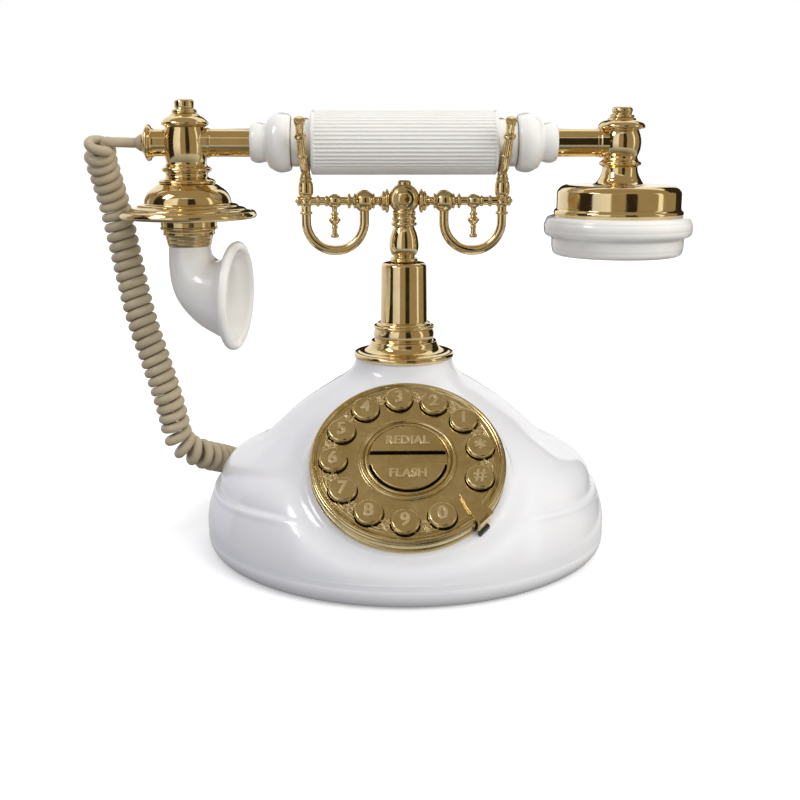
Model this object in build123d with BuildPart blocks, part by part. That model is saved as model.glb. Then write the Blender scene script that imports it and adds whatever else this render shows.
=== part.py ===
# French boudoir push-button telephone. Millimetres, +Z up.
# Origin: on the column axis at table height. +X is the receiver side, -Y the dial side.
from build123d import *
from math import acos, cos, pi, radians, sin, tan
import os

os.makedirs("parts", exist_ok=True)

# ---- driving dimensions -------------------------------------------------
GAP = 0.3                # clearance between bodies that move against each other

# base
BASE_SHIFT = 9.0         # the skirt's centre lies this far in front of the column axis
PAN_TOP = 11.0           # parting line between the pan and the housing
PAN_FLOOR = 5.0
FOOT_HEIGHT = 2.0
NECK_TOP = 85.0
NECK_RADIUS = 21.5
SCREW_RING = 76.0
SPEAKER_SPOT = (36, 30)
BOARD_Z = 24.0
JACK_Z = 19.0
JACK_ANGLES = {"handset_jack": 114.0, "line_jack": 72.0}
SWITCH_ANGLE = 93.0
SKIRT_RADIUS = 90.0

# dial
DIAL_Y = -66.0
DIAL_Z = 53.8
DIAL_TILT = 50.7         # the face normal's angle above the horizon
DIAL_RADIUS = 41.0
BEZEL_DEPTH = 7.0
BOSS_RADIUS = 44.0
BOSS_DEPTH = 11.0
FRONT_SLOPE = -8.6       # the housing's sloping front lies this far behind the dial's face
PLATE_RADIUS = 38.0
KEY_RING = 31.0
KEY_RADIUS = 5.9
KEY_STEP = 28.5
FIRST_KEY_ANGLE = 10.5
HASH_ANGLE = -18.5
KEY_NAMES = ["star", "1", "2", "3", "4", "5", "6", "7", "8", "9", "0"]
MOON_RADIUS = 15.8
BRIDGE_HALF = 3.2
MAT_TOP = -6.4           # top of the rubber mat, below the dial's face

# column and cradle
COLUMN_BORE = 7.5
ROD_RADIUS = 4.0
ROD_BOTTOM = 44.0
SLEEVE_BOTTOM = 101.6
SLEEVE_TOP = 128.6
SLEEVE_CAP = 3.0
HOOK_TRAVEL = 4.4
HUB_FOOT = 150.2
BAR_Z = 156.2
BAR_RADIUS = 1.9
BALL_X = 18.0
BALL_RADIUS = 5.0
DROP_X = 31.4
FORK_X = 44.2
FORK_WIRE = 1.8
FORK_BALL = 2.9
FORK_SPREAD = 62.0       # half the angle of the crotch's arc
HOOK_WIRE = 2.15
HOOK_CENTRE_Z = 147.1

# handset
HANDSET_Z = 181.8
TUBE_RADIUS = 6.1
NECK_TUBE_RADIUS = 10.4
GRIP_HALF = 40.8
GRIP_RADIUS = 14.0
FLUTES = 48
HUB_X = 97.2
SOCKET_END = 86.0
SAUCER_RADIUS = 30.3
HORN_TOP = 137.4
MOUTH_X = -76.3
MOUTH_Z = 113.9
MOUTH_RADIUS = 24.7
LIP_RADIUS = 2.3
HORN_YAW = 9.5
EAR_RADIUS = 33.5
BUSHING_END = -115.6
RELIEF_END = -119.2

# cord
COIL_DIAMETER = 13.0
WIRE_DIAMETER = 4.2


# ---- helpers ------------------------------------------------------------
def save(piece, label):
    piece.part.label = label
    export_step(piece.part, f"parts/{label}.step")


def turn(outline, origin=(0, 0, 0), axis=(0, 0, 1), mode=Mode.ADD):
    """Revolve an outline of (radius, height) corners. Four numbers make an arc: its middle, its end."""
    across = (0, 0, 1) if abs(axis[0]) == 1 else (1, 0, 0)
    side = Vector(*across).cross(Vector(*axis))
    with BuildSketch(Plane(origin=origin, x_dir=across, z_dir=side)) as section:
        with BuildLine():
            here = outline[0]
            for step in outline[1:] + outline[:1]:
                if len(step) == 2:
                    Line(here, step)
                else:
                    ThreePointArc(here, step[:2], step[2:])
                here = step[-2:]
        make_face()
    revolve(section.sketch, axis=Axis(origin, axis), mode=mode)


def pipe(points, diameter, radii):
    """Sweep a round section along straight runs joined by tangent arcs; returns its length."""
    with BuildLine() as route:
        FilletPolyline(*points, radius=radii)
    path = route.wire()
    with BuildSketch(Plane(origin=path @ 0, z_dir=path % 0)) as section:
        Circle(diameter / 2)
    sweep(section.sketch, path=path)
    return path.length


def arc_radii(points):
    """Each bend's radius: as large as its two runs allow."""
    radii = []
    for before, here, after in zip(points, points[1:], points[2:]):
        first = Vector(*here) - Vector(*before)
        second = Vector(*after) - Vector(*here)
        bend = acos(first.normalized().dot(second.normalized()))
        radii.append(0.45 * min(first.length, second.length) / tan(bend / 2))
    return radii


def base_axis_y(z):
    """The base leans forward: its round sections move from the column axis to the skirt's centre."""
    blend = min(max((76 - z) / 46, 0), 1)
    return -BASE_SHIFT * blend * blend * (3 - 2 * blend)


def stack(rings, smooth=True, mode=Mode.ADD):
    """Loft through round sections given as (radius, height)."""
    sections = []
    for radius, z in rings:
        with BuildSketch(Plane.XY.offset(z)) as section:
            with Locations((0, base_axis_y(z))):
                Circle(radius)
        sections.append(section.sketch.face())
    loft(sections, ruled=not smooth, mode=mode)


def skirt_plane(angle, z=JACK_Z):
    """A plane on the skirt's outside, facing straight out of the base."""
    outward = (cos(radians(angle)), sin(radians(angle)), 0)
    place = (SKIRT_RADIUS * outward[0], SKIRT_RADIUS * outward[1] - BASE_SHIFT, z)
    return Plane(origin=place, x_dir=(-outward[1], outward[0], 0), z_dir=outward)


DIAL_NORMAL = (0, -cos(radians(DIAL_TILT)), sin(radians(DIAL_TILT)))
DIAL = Plane(origin=(0, DIAL_Y, DIAL_Z), x_dir=(1, 0, 0), z_dir=DIAL_NORMAL)


def ring_place(angle, radius=KEY_RING):
    return (radius * cos(radians(angle)), radius * sin(radians(angle)))


# ---- base ---------------------------------------------------------------
CREASE = (85.9, 30.0)
JUNCTION = (68.4, 46.5)
CONE_RINGS = [(22.0, 82.5), (26.2, 77.4), (36.5, 70.9), (51.4, 61.0), (62.0, 51.6), JUNCTION]
WING_RINGS = [JUNCTION, (78.2, 41.5), (83.4, 36.0), CREASE]
BULGE_RINGS = [CREASE, (88.8, 22.5), (90.2, 16.0), (90.3, PAN_TOP)]
CAVITY_RINGS = [(17, 78), (23, 73), (36, 66), (49, 57), (61, 46.5), (68, 40), (77, 36.5),
                (81, 32), (83, 28), (86.2, 20), (87, PAN_TOP)]

with BuildPart() as cavity:
    stack(CAVITY_RINGS, smooth=False)
    with BuildSketch(DIAL.offset(FRONT_SLOPE - 3)):
        with Locations((0, -35)):
            Rectangle(200, 70)
    extrude(amount=40, mode=Mode.SUBTRACT)

with BuildPart() as base_housing:
    for rings in (CONE_RINGS, WING_RINGS, BULGE_RINGS):
        stack(rings)
    turn([(0, 80), (NECK_RADIUS, 80), (NECK_RADIUS, NECK_TOP), (0, NECK_TOP)])
    with BuildSketch(DIAL.offset(FRONT_SLOPE)):
        with Locations((0, -35)):
            Rectangle(200, 70)
    extrude(amount=40, mode=Mode.SUBTRACT)
    with BuildSketch(DIAL.offset(-BEZEL_DEPTH)):
        Circle(BOSS_RADIUS)
    extrude(amount=-BOSS_DEPTH)
    add(cavity.part, mode=Mode.SUBTRACT)
    with BuildSketch(DIAL.offset(-BEZEL_DEPTH)):
        Circle(PLATE_RADIUS)
    extrude(amount=-BOSS_DEPTH, mode=Mode.SUBTRACT)
    with BuildSketch(DIAL.offset(-BEZEL_DEPTH)):
        Circle(DIAL_RADIUS + GAP)
    extrude(amount=40, mode=Mode.SUBTRACT)
    with BuildSketch(Plane.XY.offset(60)):
        Circle(9.2)
    extrude(amount=40, mode=Mode.SUBTRACT)
    with BuildSketch(Plane.XY.offset(PAN_TOP)):
        with Locations((0, -BASE_SHIFT)):
            with PolarLocations(SCREW_RING, 4, start_angle=45):
                Circle(4)
                Circle(1.5, mode=Mode.SUBTRACT)
    extrude(amount=24)
    for angle in JACK_ANGLES.values():
        with BuildSketch(skirt_plane(angle).offset(-9)):
            Rectangle(13, 11)
        extrude(amount=14, mode=Mode.SUBTRACT)
    with BuildSketch(skirt_plane(SWITCH_ANGLE).offset(-9)):
        Rectangle(10, 3)
    extrude(amount=14, mode=Mode.SUBTRACT)
save(base_housing, "base_housing")

with BuildPart() as base_pan:
    stack([(88.4, FOOT_HEIGHT), (89.7, 6.0), (90.3, PAN_TOP)])
    stack([(86.6, PAN_FLOOR), (87, PAN_TOP)], smooth=False, mode=Mode.SUBTRACT)
    with BuildSketch(Plane.XY.offset(PAN_FLOOR)):
        with Locations((0, -BASE_SHIFT)):
            with PolarLocations(SCREW_RING, 4, start_angle=45):
                Circle(4)
    extrude(amount=PAN_TOP - PAN_FLOOR)
    with BuildSketch(Plane.XY.offset(PAN_FLOOR)):
        with Locations((0, -12)):
            with GridLocations(84, 44, 2, 2):
                Circle(3)
    extrude(amount=BOARD_Z - PAN_FLOOR)
    with BuildSketch(Plane.XY.offset(FOOT_HEIGHT)):
        with Locations((0, -BASE_SHIFT)):
            with PolarLocations(SCREW_RING, 4, start_angle=45):
                Circle(1.5)
    extrude(amount=PAN_TOP, mode=Mode.SUBTRACT)
    with BuildSketch(Plane.XY.offset(FOOT_HEIGHT)):
        with Locations((0, -BASE_SHIFT)):
            with PolarLocations(SCREW_RING, 4, start_angle=45):
                Circle(3)
    extrude(amount=2.5, mode=Mode.SUBTRACT)
    with BuildSketch(Plane.XY):
        with Locations(SPEAKER_SPOT):
            with GridLocations(4.5, 4.5, 5, 5):
                Circle(1.2)
    extrude(amount=10, mode=Mode.SUBTRACT)
save(base_pan, "base_pan")

with BuildPart() as rubber_feet:
    with BuildSketch():
        with Locations((0, -BASE_SHIFT)):
            with PolarLocations(62, 4):
                Circle(8)
    extrude(amount=FOOT_HEIGHT)
save(rubber_feet, "rubber_feet")

with BuildPart() as pan_screws:
    with BuildSketch(Plane.XY.offset(FOOT_HEIGHT + 0.5)):
        with Locations((0, -BASE_SHIFT)):
            with PolarLocations(SCREW_RING, 4, start_angle=45):
                Circle(2.9)
    extrude(amount=2)
    with BuildSketch(Plane.XY.offset(FOOT_HEIGHT + 2.5)):
        with Locations((0, -BASE_SHIFT)):
            with PolarLocations(SCREW_RING, 4, start_angle=45):
                Circle(1.45)
    extrude(amount=16)
save(pan_screws, "pan_screws")

with BuildPart() as ballast_plate:
    with BuildSketch(Plane.XY.offset(PAN_FLOOR)):
        with Locations((0, -48)):
            RectangleRounded(90, 18, 6)
        with Locations((-10, -12)):
            RectangleRounded(50, 60, 4)
    extrude(amount=5)
save(ballast_plate, "ballast_plate")

with BuildPart() as main_board:
    with BuildSketch(Plane.XY.offset(BOARD_Z)):
        with Locations((0, -12)):
            RectangleRounded(94, 54, 3)
            with GridLocations(84, 44, 2, 2):
                Circle(1.3, mode=Mode.SUBTRACT)
    extrude(amount=1.6)
save(main_board, "main_board")

with BuildPart() as ringer_speaker:
    turn([(0, 0), (15, 0), (15, 3), (8, 6), (8, 11), (0, 11)], origin=(*SPEAKER_SPOT, PAN_FLOOR))
save(ringer_speaker, "ringer_speaker")

with BuildPart() as hook_switch:
    with BuildSketch(Plane.XY.offset(BOARD_Z + 1.6)):
        RectangleRounded(20, 10, 1)
    extrude(amount=14)
    with BuildSketch(Plane.XY.offset(BOARD_Z + 15.6)):
        Circle(1.6)
    extrude(amount=ROD_BOTTOM - GAP - BOARD_Z - 15.6)
save(hook_switch, "hook_switch")

for jack_name, angle in JACK_ANGLES.items():
    with BuildPart() as jack:
        with BuildSketch(skirt_plane(angle).offset(-16.5)):
            Rectangle(13, 11)
        extrude(amount=16)
        with BuildSketch(skirt_plane(angle).offset(-12.5)):
            Rectangle(8.2, 6.9)
        extrude(amount=13, mode=Mode.SUBTRACT)
    save(jack, jack_name)

with BuildPart() as ringer_slider:
    with BuildSketch(skirt_plane(SWITCH_ANGLE).offset(-6)):
        with Locations((-1.8, 0)):
            RectangleRounded(4, 2.3, 0.5)
    extrude(amount=7.4)
save(ringer_slider, "ringer_slider")

# ---- dial ---------------------------------------------------------------
with BuildPart() as dial_bezel:
    turn([(PLATE_RADIUS, -7), (DIAL_RADIUS, -7), (DIAL_RADIUS, -5), (DIAL_RADIUS - 0.7, -4.6),
          (DIAL_RADIUS - 0.7, -3.6), (DIAL_RADIUS, -3.2), (DIAL_RADIUS, -0.6),
          (DIAL_RADIUS - 0.3, 0.6, DIAL_RADIUS - 1.4, 0.9), (PLATE_RADIUS + 0.6, 0.7),
          (PLATE_RADIUS, 0.0)], origin=DIAL.origin, axis=DIAL_NORMAL)
save(dial_bezel, "dial_bezel")

KEY_ANGLES = [FIRST_KEY_ANGLE + KEY_STEP * step for step in range(len(KEY_NAMES))] + [HASH_ANGLE]
KEY_SPOTS = [ring_place(angle) for angle in KEY_ANGLES]

with BuildPart() as dial_plate:
    turn([(0, -1.6), (PLATE_RADIUS, -1.6), (PLATE_RADIUS, 0), (20.6, 0), (19.6, 1.4, 18.6, 0.7),
          (17.6, 0.7), (16.9, 1.0, 16.4, 0.4), (0, 0.4)], origin=DIAL.origin, axis=DIAL_NORMAL)
    with BuildSketch(DIAL.offset(-3)):
        with Locations(*KEY_SPOTS):
            Circle(KEY_RADIUS + GAP)
        Circle(MOON_RADIUS + GAP)
        Rectangle(40, 2 * BRIDGE_HALF - 2 * GAP, mode=Mode.SUBTRACT)
    extrude(amount=6, mode=Mode.SUBTRACT)
save(dial_plate, "dial_plate")

with BuildPart() as finger_stop:
    stop_angle = (HASH_ANGLE + FIRST_KEY_ANGLE + KEY_STEP * 10 - 360) / 2
    stop_plane = Plane(origin=DIAL.from_local_coords((*ring_place(stop_angle, 22), 0)),
                       x_dir=DIAL.from_local_coords(Vector(*ring_place(stop_angle, 1)))
                       - DIAL.origin, z_dir=DIAL_NORMAL)
    with BuildSketch(stop_plane):
        Polygon((0, -0.6), (12, -1.6), (12, 1.6), (0, 0.6), align=None)
    extrude(amount=1.1)
    with BuildSketch(stop_plane.offset(0.9)):
        with Locations((16.5, 0)):
            Rectangle(9.5, 6)
    extrude(amount=1.2)
    with BuildSketch(stop_plane.offset(-4)):
        with Locations((20.0, 0)):
            Rectangle(1.4, 6)
    extrude(amount=6.1)
save(finger_stop, "finger_stop")

with BuildPart() as key_board:
    with BuildSketch(DIAL.offset(MAT_TOP - 3.0)):
        Circle(36.5)
    extrude(amount=1.6)
save(key_board, "key_board")

with BuildPart() as key_mat:
    with BuildSketch(DIAL.offset(MAT_TOP - 1.4)):
        Circle(36.5)
    extrude(amount=1.4)
save(key_mat, "key_mat")

for key_name, spot in zip(KEY_NAMES + ["hash"], KEY_SPOTS):
    with BuildPart() as key:
        turn([(0, -4.4), (KEY_RADIUS + 0.9, -4.4), (KEY_RADIUS + 0.9, -3.5), (KEY_RADIUS, -3.5),
              (KEY_RADIUS, 1.6), (KEY_RADIUS - 0.35, 2.3, KEY_RADIUS - 1.1, 2.6), (0, 2.9)],
             origin=DIAL.from_local_coords((*spot, 0)), axis=DIAL_NORMAL)
    save(key, f"key_{key_name}")

for key_name, side in (("redial", 1), ("flash", -1)):
    with BuildPart() as key:
        with BuildSketch(DIAL.offset(-4.4)):
            Circle(MOON_RADIUS)
            with Locations((0, side * (BRIDGE_HALF - MOON_RADIUS))):
                Rectangle(2 * MOON_RADIUS, 2 * MOON_RADIUS, mode=Mode.SUBTRACT)
        extrude(amount=6.0)
    save(key, f"key_{key_name}")

# ---- column -------------------------------------------------------------
with BuildPart() as column_flange:
    turn([(ROD_RADIUS + GAP, 70), (9, 70), (9, NECK_TOP), (22.7, NECK_TOP), (23.1, 86, 22.9, 87.6),
          (20.6, 88.2), (16.6, 89.6, 14.4, 92.6), (13.2, 93.2), (13.6, 93.8), (13.9, 95.8, 13.4, 98.2),
          (13.9, 98.8, 13.4, 99.6), (11.6, 100.6, 10.8, SLEEVE_BOTTOM), (COLUMN_BORE, SLEEVE_BOTTOM),
          (COLUMN_BORE, 88), (ROD_RADIUS + GAP, 88)])
save(column_flange, "column_flange")

with BuildPart() as column_nut:
    with BuildSketch(Plane.XY.offset(74.4)):
        RegularPolygon(11.6, 6)
        Circle(9, mode=Mode.SUBTRACT)
    extrude(amount=3.6)
save(column_nut, "column_nut")

with BuildPart() as column_sleeve:
    turn([(COLUMN_BORE, SLEEVE_BOTTOM), (10.7, SLEEVE_BOTTOM), (10.3, SLEEVE_TOP - 2.2),
          (9.7, SLEEVE_TOP - 0.6, 8.3, SLEEVE_TOP), (ROD_RADIUS + GAP, SLEEVE_TOP),
          (ROD_RADIUS + GAP, SLEEVE_TOP - SLEEVE_CAP), (COLUMN_BORE, SLEEVE_TOP - SLEEVE_CAP)])
save(column_sleeve, "column_sleeve")

COLLAR_TOP = SLEEVE_TOP - SLEEVE_CAP - HOOK_TRAVEL - GAP
COLLAR_BOTTOM = COLLAR_TOP - 4
with BuildPart() as hook_spring:
    turn([(4.7, 88), (6.9, 88), (6.9, COLLAR_BOTTOM - GAP), (4.7, COLLAR_BOTTOM - GAP)])
save(hook_spring, "hook_spring")

# ---- cradle -------------------------------------------------------------
with BuildPart() as cradle_stem:
    turn([(0, ROD_BOTTOM), (ROD_RADIUS, ROD_BOTTOM), (ROD_RADIUS, COLLAR_BOTTOM),
          (COLUMN_BORE - GAP, COLLAR_BOTTOM), (COLUMN_BORE - GAP, COLLAR_TOP), (ROD_RADIUS, COLLAR_TOP),
          (ROD_RADIUS, 128.9), (5.6, 128.9), (6.3, 129.8, 5.6, 130.7), (5.0, 131.3),
          (6.4, 133.6, 6.7, 136.6), (6.2, 140.4, 4.9, 144.3), (4.7, 145.2), (5.6, 145.6),
          (5.9, 147.2, 5.2, 149.2),
          (4.9, 149.6), (5.4, HUB_FOOT), (0, HUB_FOOT)])
save(cradle_stem, "cradle_stem")

with BuildPart() as cradle_hub:
    turn([(0, -5.2), (3.0, -5.2), (3.4, -4.7), (4.6, -4.6), (5.0, -4.0), (6.4, -3.6), (6.8, 0, 6.4, 3.6),
          (5.0, 4.0), (4.6, 4.6), (0, 4.8)], origin=(0, 0, 157.2), axis=(0, 1, 0))
    turn([(0, HUB_FOOT), (4.8, HUB_FOOT), (4.2, 153), (0, 153)])
    turn([(0, 162), (3.4, 162), (3.4, 164.4), (2.9, 165.1, 2.0, 165.3), (0, 165.3)])
    with BuildSketch(Plane.YZ.offset(6.2)):
        with Locations((0, 157)):
            Rectangle(20, 20)
    extrude(amount=4, mode=Mode.SUBTRACT)
    with BuildSketch(Plane.YZ.offset(-6.2)):
        with Locations((0, 157)):
            Rectangle(20, 20)
    extrude(amount=-4, mode=Mode.SUBTRACT)
save(cradle_hub, "cradle_hub")

BAR_END = FORK_X - 2.1
with BuildPart() as crossbar:
    for side in (-1, 1):
        turn([(0, 6.2), (BAR_RADIUS, 6.2), (BAR_RADIUS, 7.0), (5.0, 7.4), (5.2, 8.0, 4.6, 8.6), (3.8, 8.8),
              (4.3, 9.4, 3.6, 10.0), (2.6, 10.4), (BAR_RADIUS, 11.2), (BAR_RADIUS, BALL_X - 4.6),
              (BALL_RADIUS, BALL_X, BAR_RADIUS, BALL_X + 4.6), (BAR_RADIUS, 23.4), (2.9, 23.7),
              (3.4, 24.6, 2.9, 25.5), (BAR_RADIUS, 26.2), (BAR_RADIUS, DROP_X - 2.6),
              (3.2, DROP_X, BAR_RADIUS, DROP_X + 2.6), (BAR_RADIUS, BAR_END), (0, BAR_END)],
             origin=(0, 0, BAR_Z), axis=(side, 0, 0))
save(crossbar, "crossbar")

HOOK_CENTRE_X = (BALL_X + FORK_X) / 2
HOOK_RADIUS = (FORK_X - BALL_X) / 2
with BuildPart() as hooks:
    for side in (-1, 1):
        with BuildLine() as bend:
            inner = Line((side * BALL_X, 0, BAR_Z - 2), (side * BALL_X, 0, HOOK_CENTRE_Z))
            bottom = ThreePointArc(inner @ 1, (side * HOOK_CENTRE_X, 0, HOOK_CENTRE_Z - HOOK_RADIUS),
                                   (side * FORK_X, 0, HOOK_CENTRE_Z))
            Line(bottom @ 1, (side * FORK_X, 0, BAR_Z - 1))
        with BuildSketch(Plane(origin=inner @ 0, z_dir=(0, 0, -1))):
            Circle(HOOK_WIRE)
        sweep(path=bend.wire())
        with Locations((side * BALL_X, 0, BAR_Z)):
            Sphere(BALL_RADIUS, mode=Mode.SUBTRACT)
        with Locations((side * FORK_X, 0, BAR_Z)):
            Sphere(FORK_BALL, mode=Mode.SUBTRACT)
save(hooks, "hooks")

with BuildPart() as hanging_drops:
    for side in (-1, 1):
        turn([(0, -16.4), (1.6, -16.4), (1.9, -15.6), (1.3, -12.2), (1.2, -10.6), (2.7, -8.4, 2.5, -6.8),
              (1.5, -5.8), (1.3, -4.4), (1.3, -2.7), (0, -2.7)], origin=(side * DROP_X, 0, BAR_Z))
        with Locations((side * DROP_X, 0, BAR_Z)):
            Sphere(3.25, mode=Mode.SUBTRACT)
save(hanging_drops, "hanging_drops")

CROTCH_RADIUS = NECK_TUBE_RADIUS + GAP + FORK_WIRE
PRONG_LENGTH = 15.0
spread = radians(FORK_SPREAD)
PRONG_FOOT = (CROTCH_RADIUS * sin(spread), HANDSET_Z - CROTCH_RADIUS * cos(spread))
PRONG_TOP = (PRONG_FOOT[0] + PRONG_LENGTH * cos(spread), PRONG_FOOT[1] + PRONG_LENGTH * sin(spread))
for side, hand in ((-1, "left"), (1, "right")):
    x = side * FORK_X
    with BuildPart() as fork:
        with BuildLine() as prongs:
            Line((x, -PRONG_TOP[0], PRONG_TOP[1]), (x, -PRONG_FOOT[0], PRONG_FOOT[1]))
            ThreePointArc((x, -PRONG_FOOT[0], PRONG_FOOT[1]), (x, 0, HANDSET_Z - CROTCH_RADIUS),
                          (x, PRONG_FOOT[0], PRONG_FOOT[1]))
            Line((x, PRONG_FOOT[0], PRONG_FOOT[1]), (x, PRONG_TOP[0], PRONG_TOP[1]))
        prong_path = prongs.wire()
        with BuildSketch(Plane(origin=prong_path @ 0, z_dir=prong_path % 0)):
            Circle(FORK_WIRE)
        sweep(path=prong_path)
        turn([(0, BAR_Z - FORK_BALL), (FORK_BALL, BAR_Z, 2.3, BAR_Z + 1.8), (2.6, 161),
              (3.1, 162, 2.7, 163), (2.1, 165.5), (2.1, 168.2), (0, 168.2)], origin=(x, 0, 0))
        for way in (-1, 1):
            turn([(0, -1), (2.1, -1), (2.6, 0, 2.1, 1), (1.4, 1.8), (2.0, 3.2), (2.1, 5.4), (1.9, 7.4),
                  (1.5, 8.6), (0.8, 9.2), (0, 9.3)], origin=(x, way * PRONG_TOP[0], PRONG_TOP[1]),
                 axis=(0, way * cos(spread), sin(spread)))
        turn([(0, 1), (1.7, 1), (1.7, 2.7), (2.1, 3.1), (0.9, 4.4), (0, 4.8)],
             origin=(x, 0, BAR_Z), axis=(side, 0, 0))
        turn([(0, BAR_END - 2), (BAR_RADIUS, BAR_END - 2), (BAR_RADIUS, BAR_END), (0, BAR_END)],
             origin=(0, 0, BAR_Z), axis=(side, 0, 0), mode=Mode.SUBTRACT)
    save(fork, f"fork_{hand}")

# ---- handset ------------------------------------------------------------
with BuildPart() as handset_tube:
    with BuildSketch(Plane.YZ.offset(-SOCKET_END)):
        with Locations((0, HANDSET_Z)):
            Circle(TUBE_RADIUS)
            Circle(TUBE_RADIUS - 1, mode=Mode.SUBTRACT)
    extrude(amount=2 * SOCKET_END)
save(handset_tube, "handset_tube")

with BuildPart() as grip:
    with BuildSketch(Plane.YZ.offset(-GRIP_HALF)):
        with Locations((0, HANDSET_Z)):
            Circle(GRIP_RADIUS)
            with PolarLocations(GRIP_RADIUS + 0.15, FLUTES):
                Circle(0.55, mode=Mode.SUBTRACT)
    extrude(amount=2 * GRIP_HALF)
    with BuildSketch(Plane.YZ.offset(-50)):
        with Locations((0, HANDSET_Z)):
            Circle(NECK_TUBE_RADIUS)
    extrude(amount=100)
    with BuildSketch(Plane.YZ.offset(-50)):
        with Locations((0, HANDSET_Z)):
            Circle(TUBE_RADIUS)
    extrude(amount=100, mode=Mode.SUBTRACT)
save(grip, "grip")

with BuildPart() as grip_beads:
    for side in (-1, 1):
        turn([(TUBE_RADIUS, 50), (11.2, 50), (12.2, 50.8, 12.7, 52.2), (12.9, 55.5, 11.6, 58.8),
              (10.2, 60.6, 8.6, 61.2), (8.2, 62.0), (8.6, 63.0), (8.8, 65.4, 8.0, 67.6), (7.2, 68.4),
              (TUBE_RADIUS, 68.4)], origin=(0, 0, HANDSET_Z), axis=(side, 0, 0))
save(grip_beads, "grip_beads")

left_end = (-HUB_X, 0, 0)
right_end = (HUB_X, 0, 0)
with BuildPart() as transmitter_hub:
    turn([(0, 163.9), (12.3, 163.9), (12.8, 165.3, 12.1, 166.8), (10.0, 167.2), (9.8, 168.4), (10.9, 168.7),
          (11.3, 170.4, 10.7, 172.2), (9.2, 172.8), (8.2, 176.5, 9.2, 182.0), (9.3, 186.0, 8.7, 188.6),
          (9.6, 189.2), (10.2, 191.4, 9.0, 193.4), (6.2, 194.3), (0, 194.3)], origin=left_end)
    with BuildSketch(Plane.YZ.offset(-HUB_X)):
        with Locations((0, HANDSET_Z)):
            Circle(7.4)
    extrude(amount=HUB_X - SOCKET_END)
save(transmitter_hub, "transmitter_hub")

with BuildPart() as hub_finials:
    turn([(0, 194.3), (5.0, 194.3), (5.6, 195.5, 4.9, 196.7), (4.2, 196.9), (4.3, 199.2),
          (3.9, 200.2, 3.0, 200.5), (0, 200.5)], origin=left_end)
    turn([(0, 192.6), (4.8, 192.6), (5.4, 193.5, 4.7, 194.3), (4.2, 194.5), (4.4, 196.4),
          (3.9, 197.2, 3.0, 197.4), (0, 197.4)], origin=right_end)
save(hub_finials, "hub_finials")

with BuildPart() as transmitter_saucer:
    turn([(0, 147.3), (12.4, 147.3), (12.4, 149.0), (20, 148.0, 28.6, 148.9), (SAUCER_RADIUS, 150.4,
          29.0, 152.1), (26.6, 152.1), (25.3, 153.3, 23.5, 153.6), (21.9, 154.8, 19.4, 155.2),
          (18.4, 158.8, 15.2, 162.2), (12.3, 163.9), (0, 163.9)], origin=left_end)
save(transmitter_saucer, "transmitter_saucer")

with BuildPart() as horn_collar:
    turn([(8.0, HORN_TOP - 1.2), (9.9, HORN_TOP - 1.2), (10.3, 138.4), (10.6, 141.0), (12.0, 141.6),
          (12.8, 144.4, 12.4, 147.3), (8.0, 147.3)], origin=left_end)
save(horn_collar, "horn_collar")

HORN_RINGS = [(-97.2, HORN_TOP - 1.2, 9.4, 0), (-96.6, 129.4, 10.4, 13), (-93.2, 121.4, 13.4, 42),
              (-86.4, 115.8, 16.8, 69), (MOUTH_X, MOUTH_Z, MOUTH_RADIUS - 2 * LIP_RADIUS + 1.2, 89)]


def horn_loft(wall, mode):
    """Round sections along the horn's bent axis: centre x, centre z, radius, turn from straight down."""
    sections = []
    for x, z, radius, bend in HORN_RINGS:
        facing = (sin(radians(bend)), 0, -cos(radians(bend)))
        with BuildSketch(Plane(origin=(x, 0, z), x_dir=(0, 1, 0), z_dir=facing)) as section:
            Circle(radius - wall)
        sections.append(section.sketch.face())
    loft(sections, mode=mode)


with BuildPart() as straight_horn:
    horn_loft(0, Mode.ADD)
    turn([(MOUTH_RADIUS - 2 * LIP_RADIUS, 0), (MOUTH_RADIUS - LIP_RADIUS, LIP_RADIUS, MOUTH_RADIUS, 0),
          (MOUTH_RADIUS - LIP_RADIUS, -LIP_RADIUS, MOUTH_RADIUS - 2 * LIP_RADIUS, -0.3)],
         origin=(MOUTH_X, 0, MOUTH_Z), axis=(1, 0, 0))
    horn_loft(1.8, Mode.SUBTRACT)
with BuildPart() as horn:
    add(Pos(-HUB_X, 0, 0) * Rot(0, 0, -HORN_YAW) * Pos(HUB_X, 0, 0) * straight_horn.part)
save(horn, "horn")

with BuildPart() as microphone:
    turn([(0, HORN_TOP - 1.2), (8.0, HORN_TOP - 1.2), (8.0, 139.5), (0, 139.5)], origin=left_end)
save(microphone, "microphone")

with BuildPart() as cord_bushing:
    turn([(1.9, 6), (5.9, 6), (5.9, 12.4), (6.4, 14.4, 7.6, 15.4), (7.7, 16.4, 6.6, 17.2), (4.4, 18.0),
          (4.2, 18.4), (1.9, 18.4)], origin=(-HUB_X, 0, HANDSET_Z), axis=(-1, 0, 0))
    turn([(0, 160), (9.5, 160), (9.5, 200), (0, 200)], origin=left_end, mode=Mode.SUBTRACT)
save(cord_bushing, "cord_bushing")

with BuildPart() as strain_relief:
    turn([(0, BUSHING_END), (3.3, BUSHING_END), (3.6, BUSHING_END - 1.6, 2.2, RELIEF_END),
          (0, RELIEF_END)], origin=(0, 0, HANDSET_Z), axis=(1, 0, 0))
save(strain_relief, "strain_relief")

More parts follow.
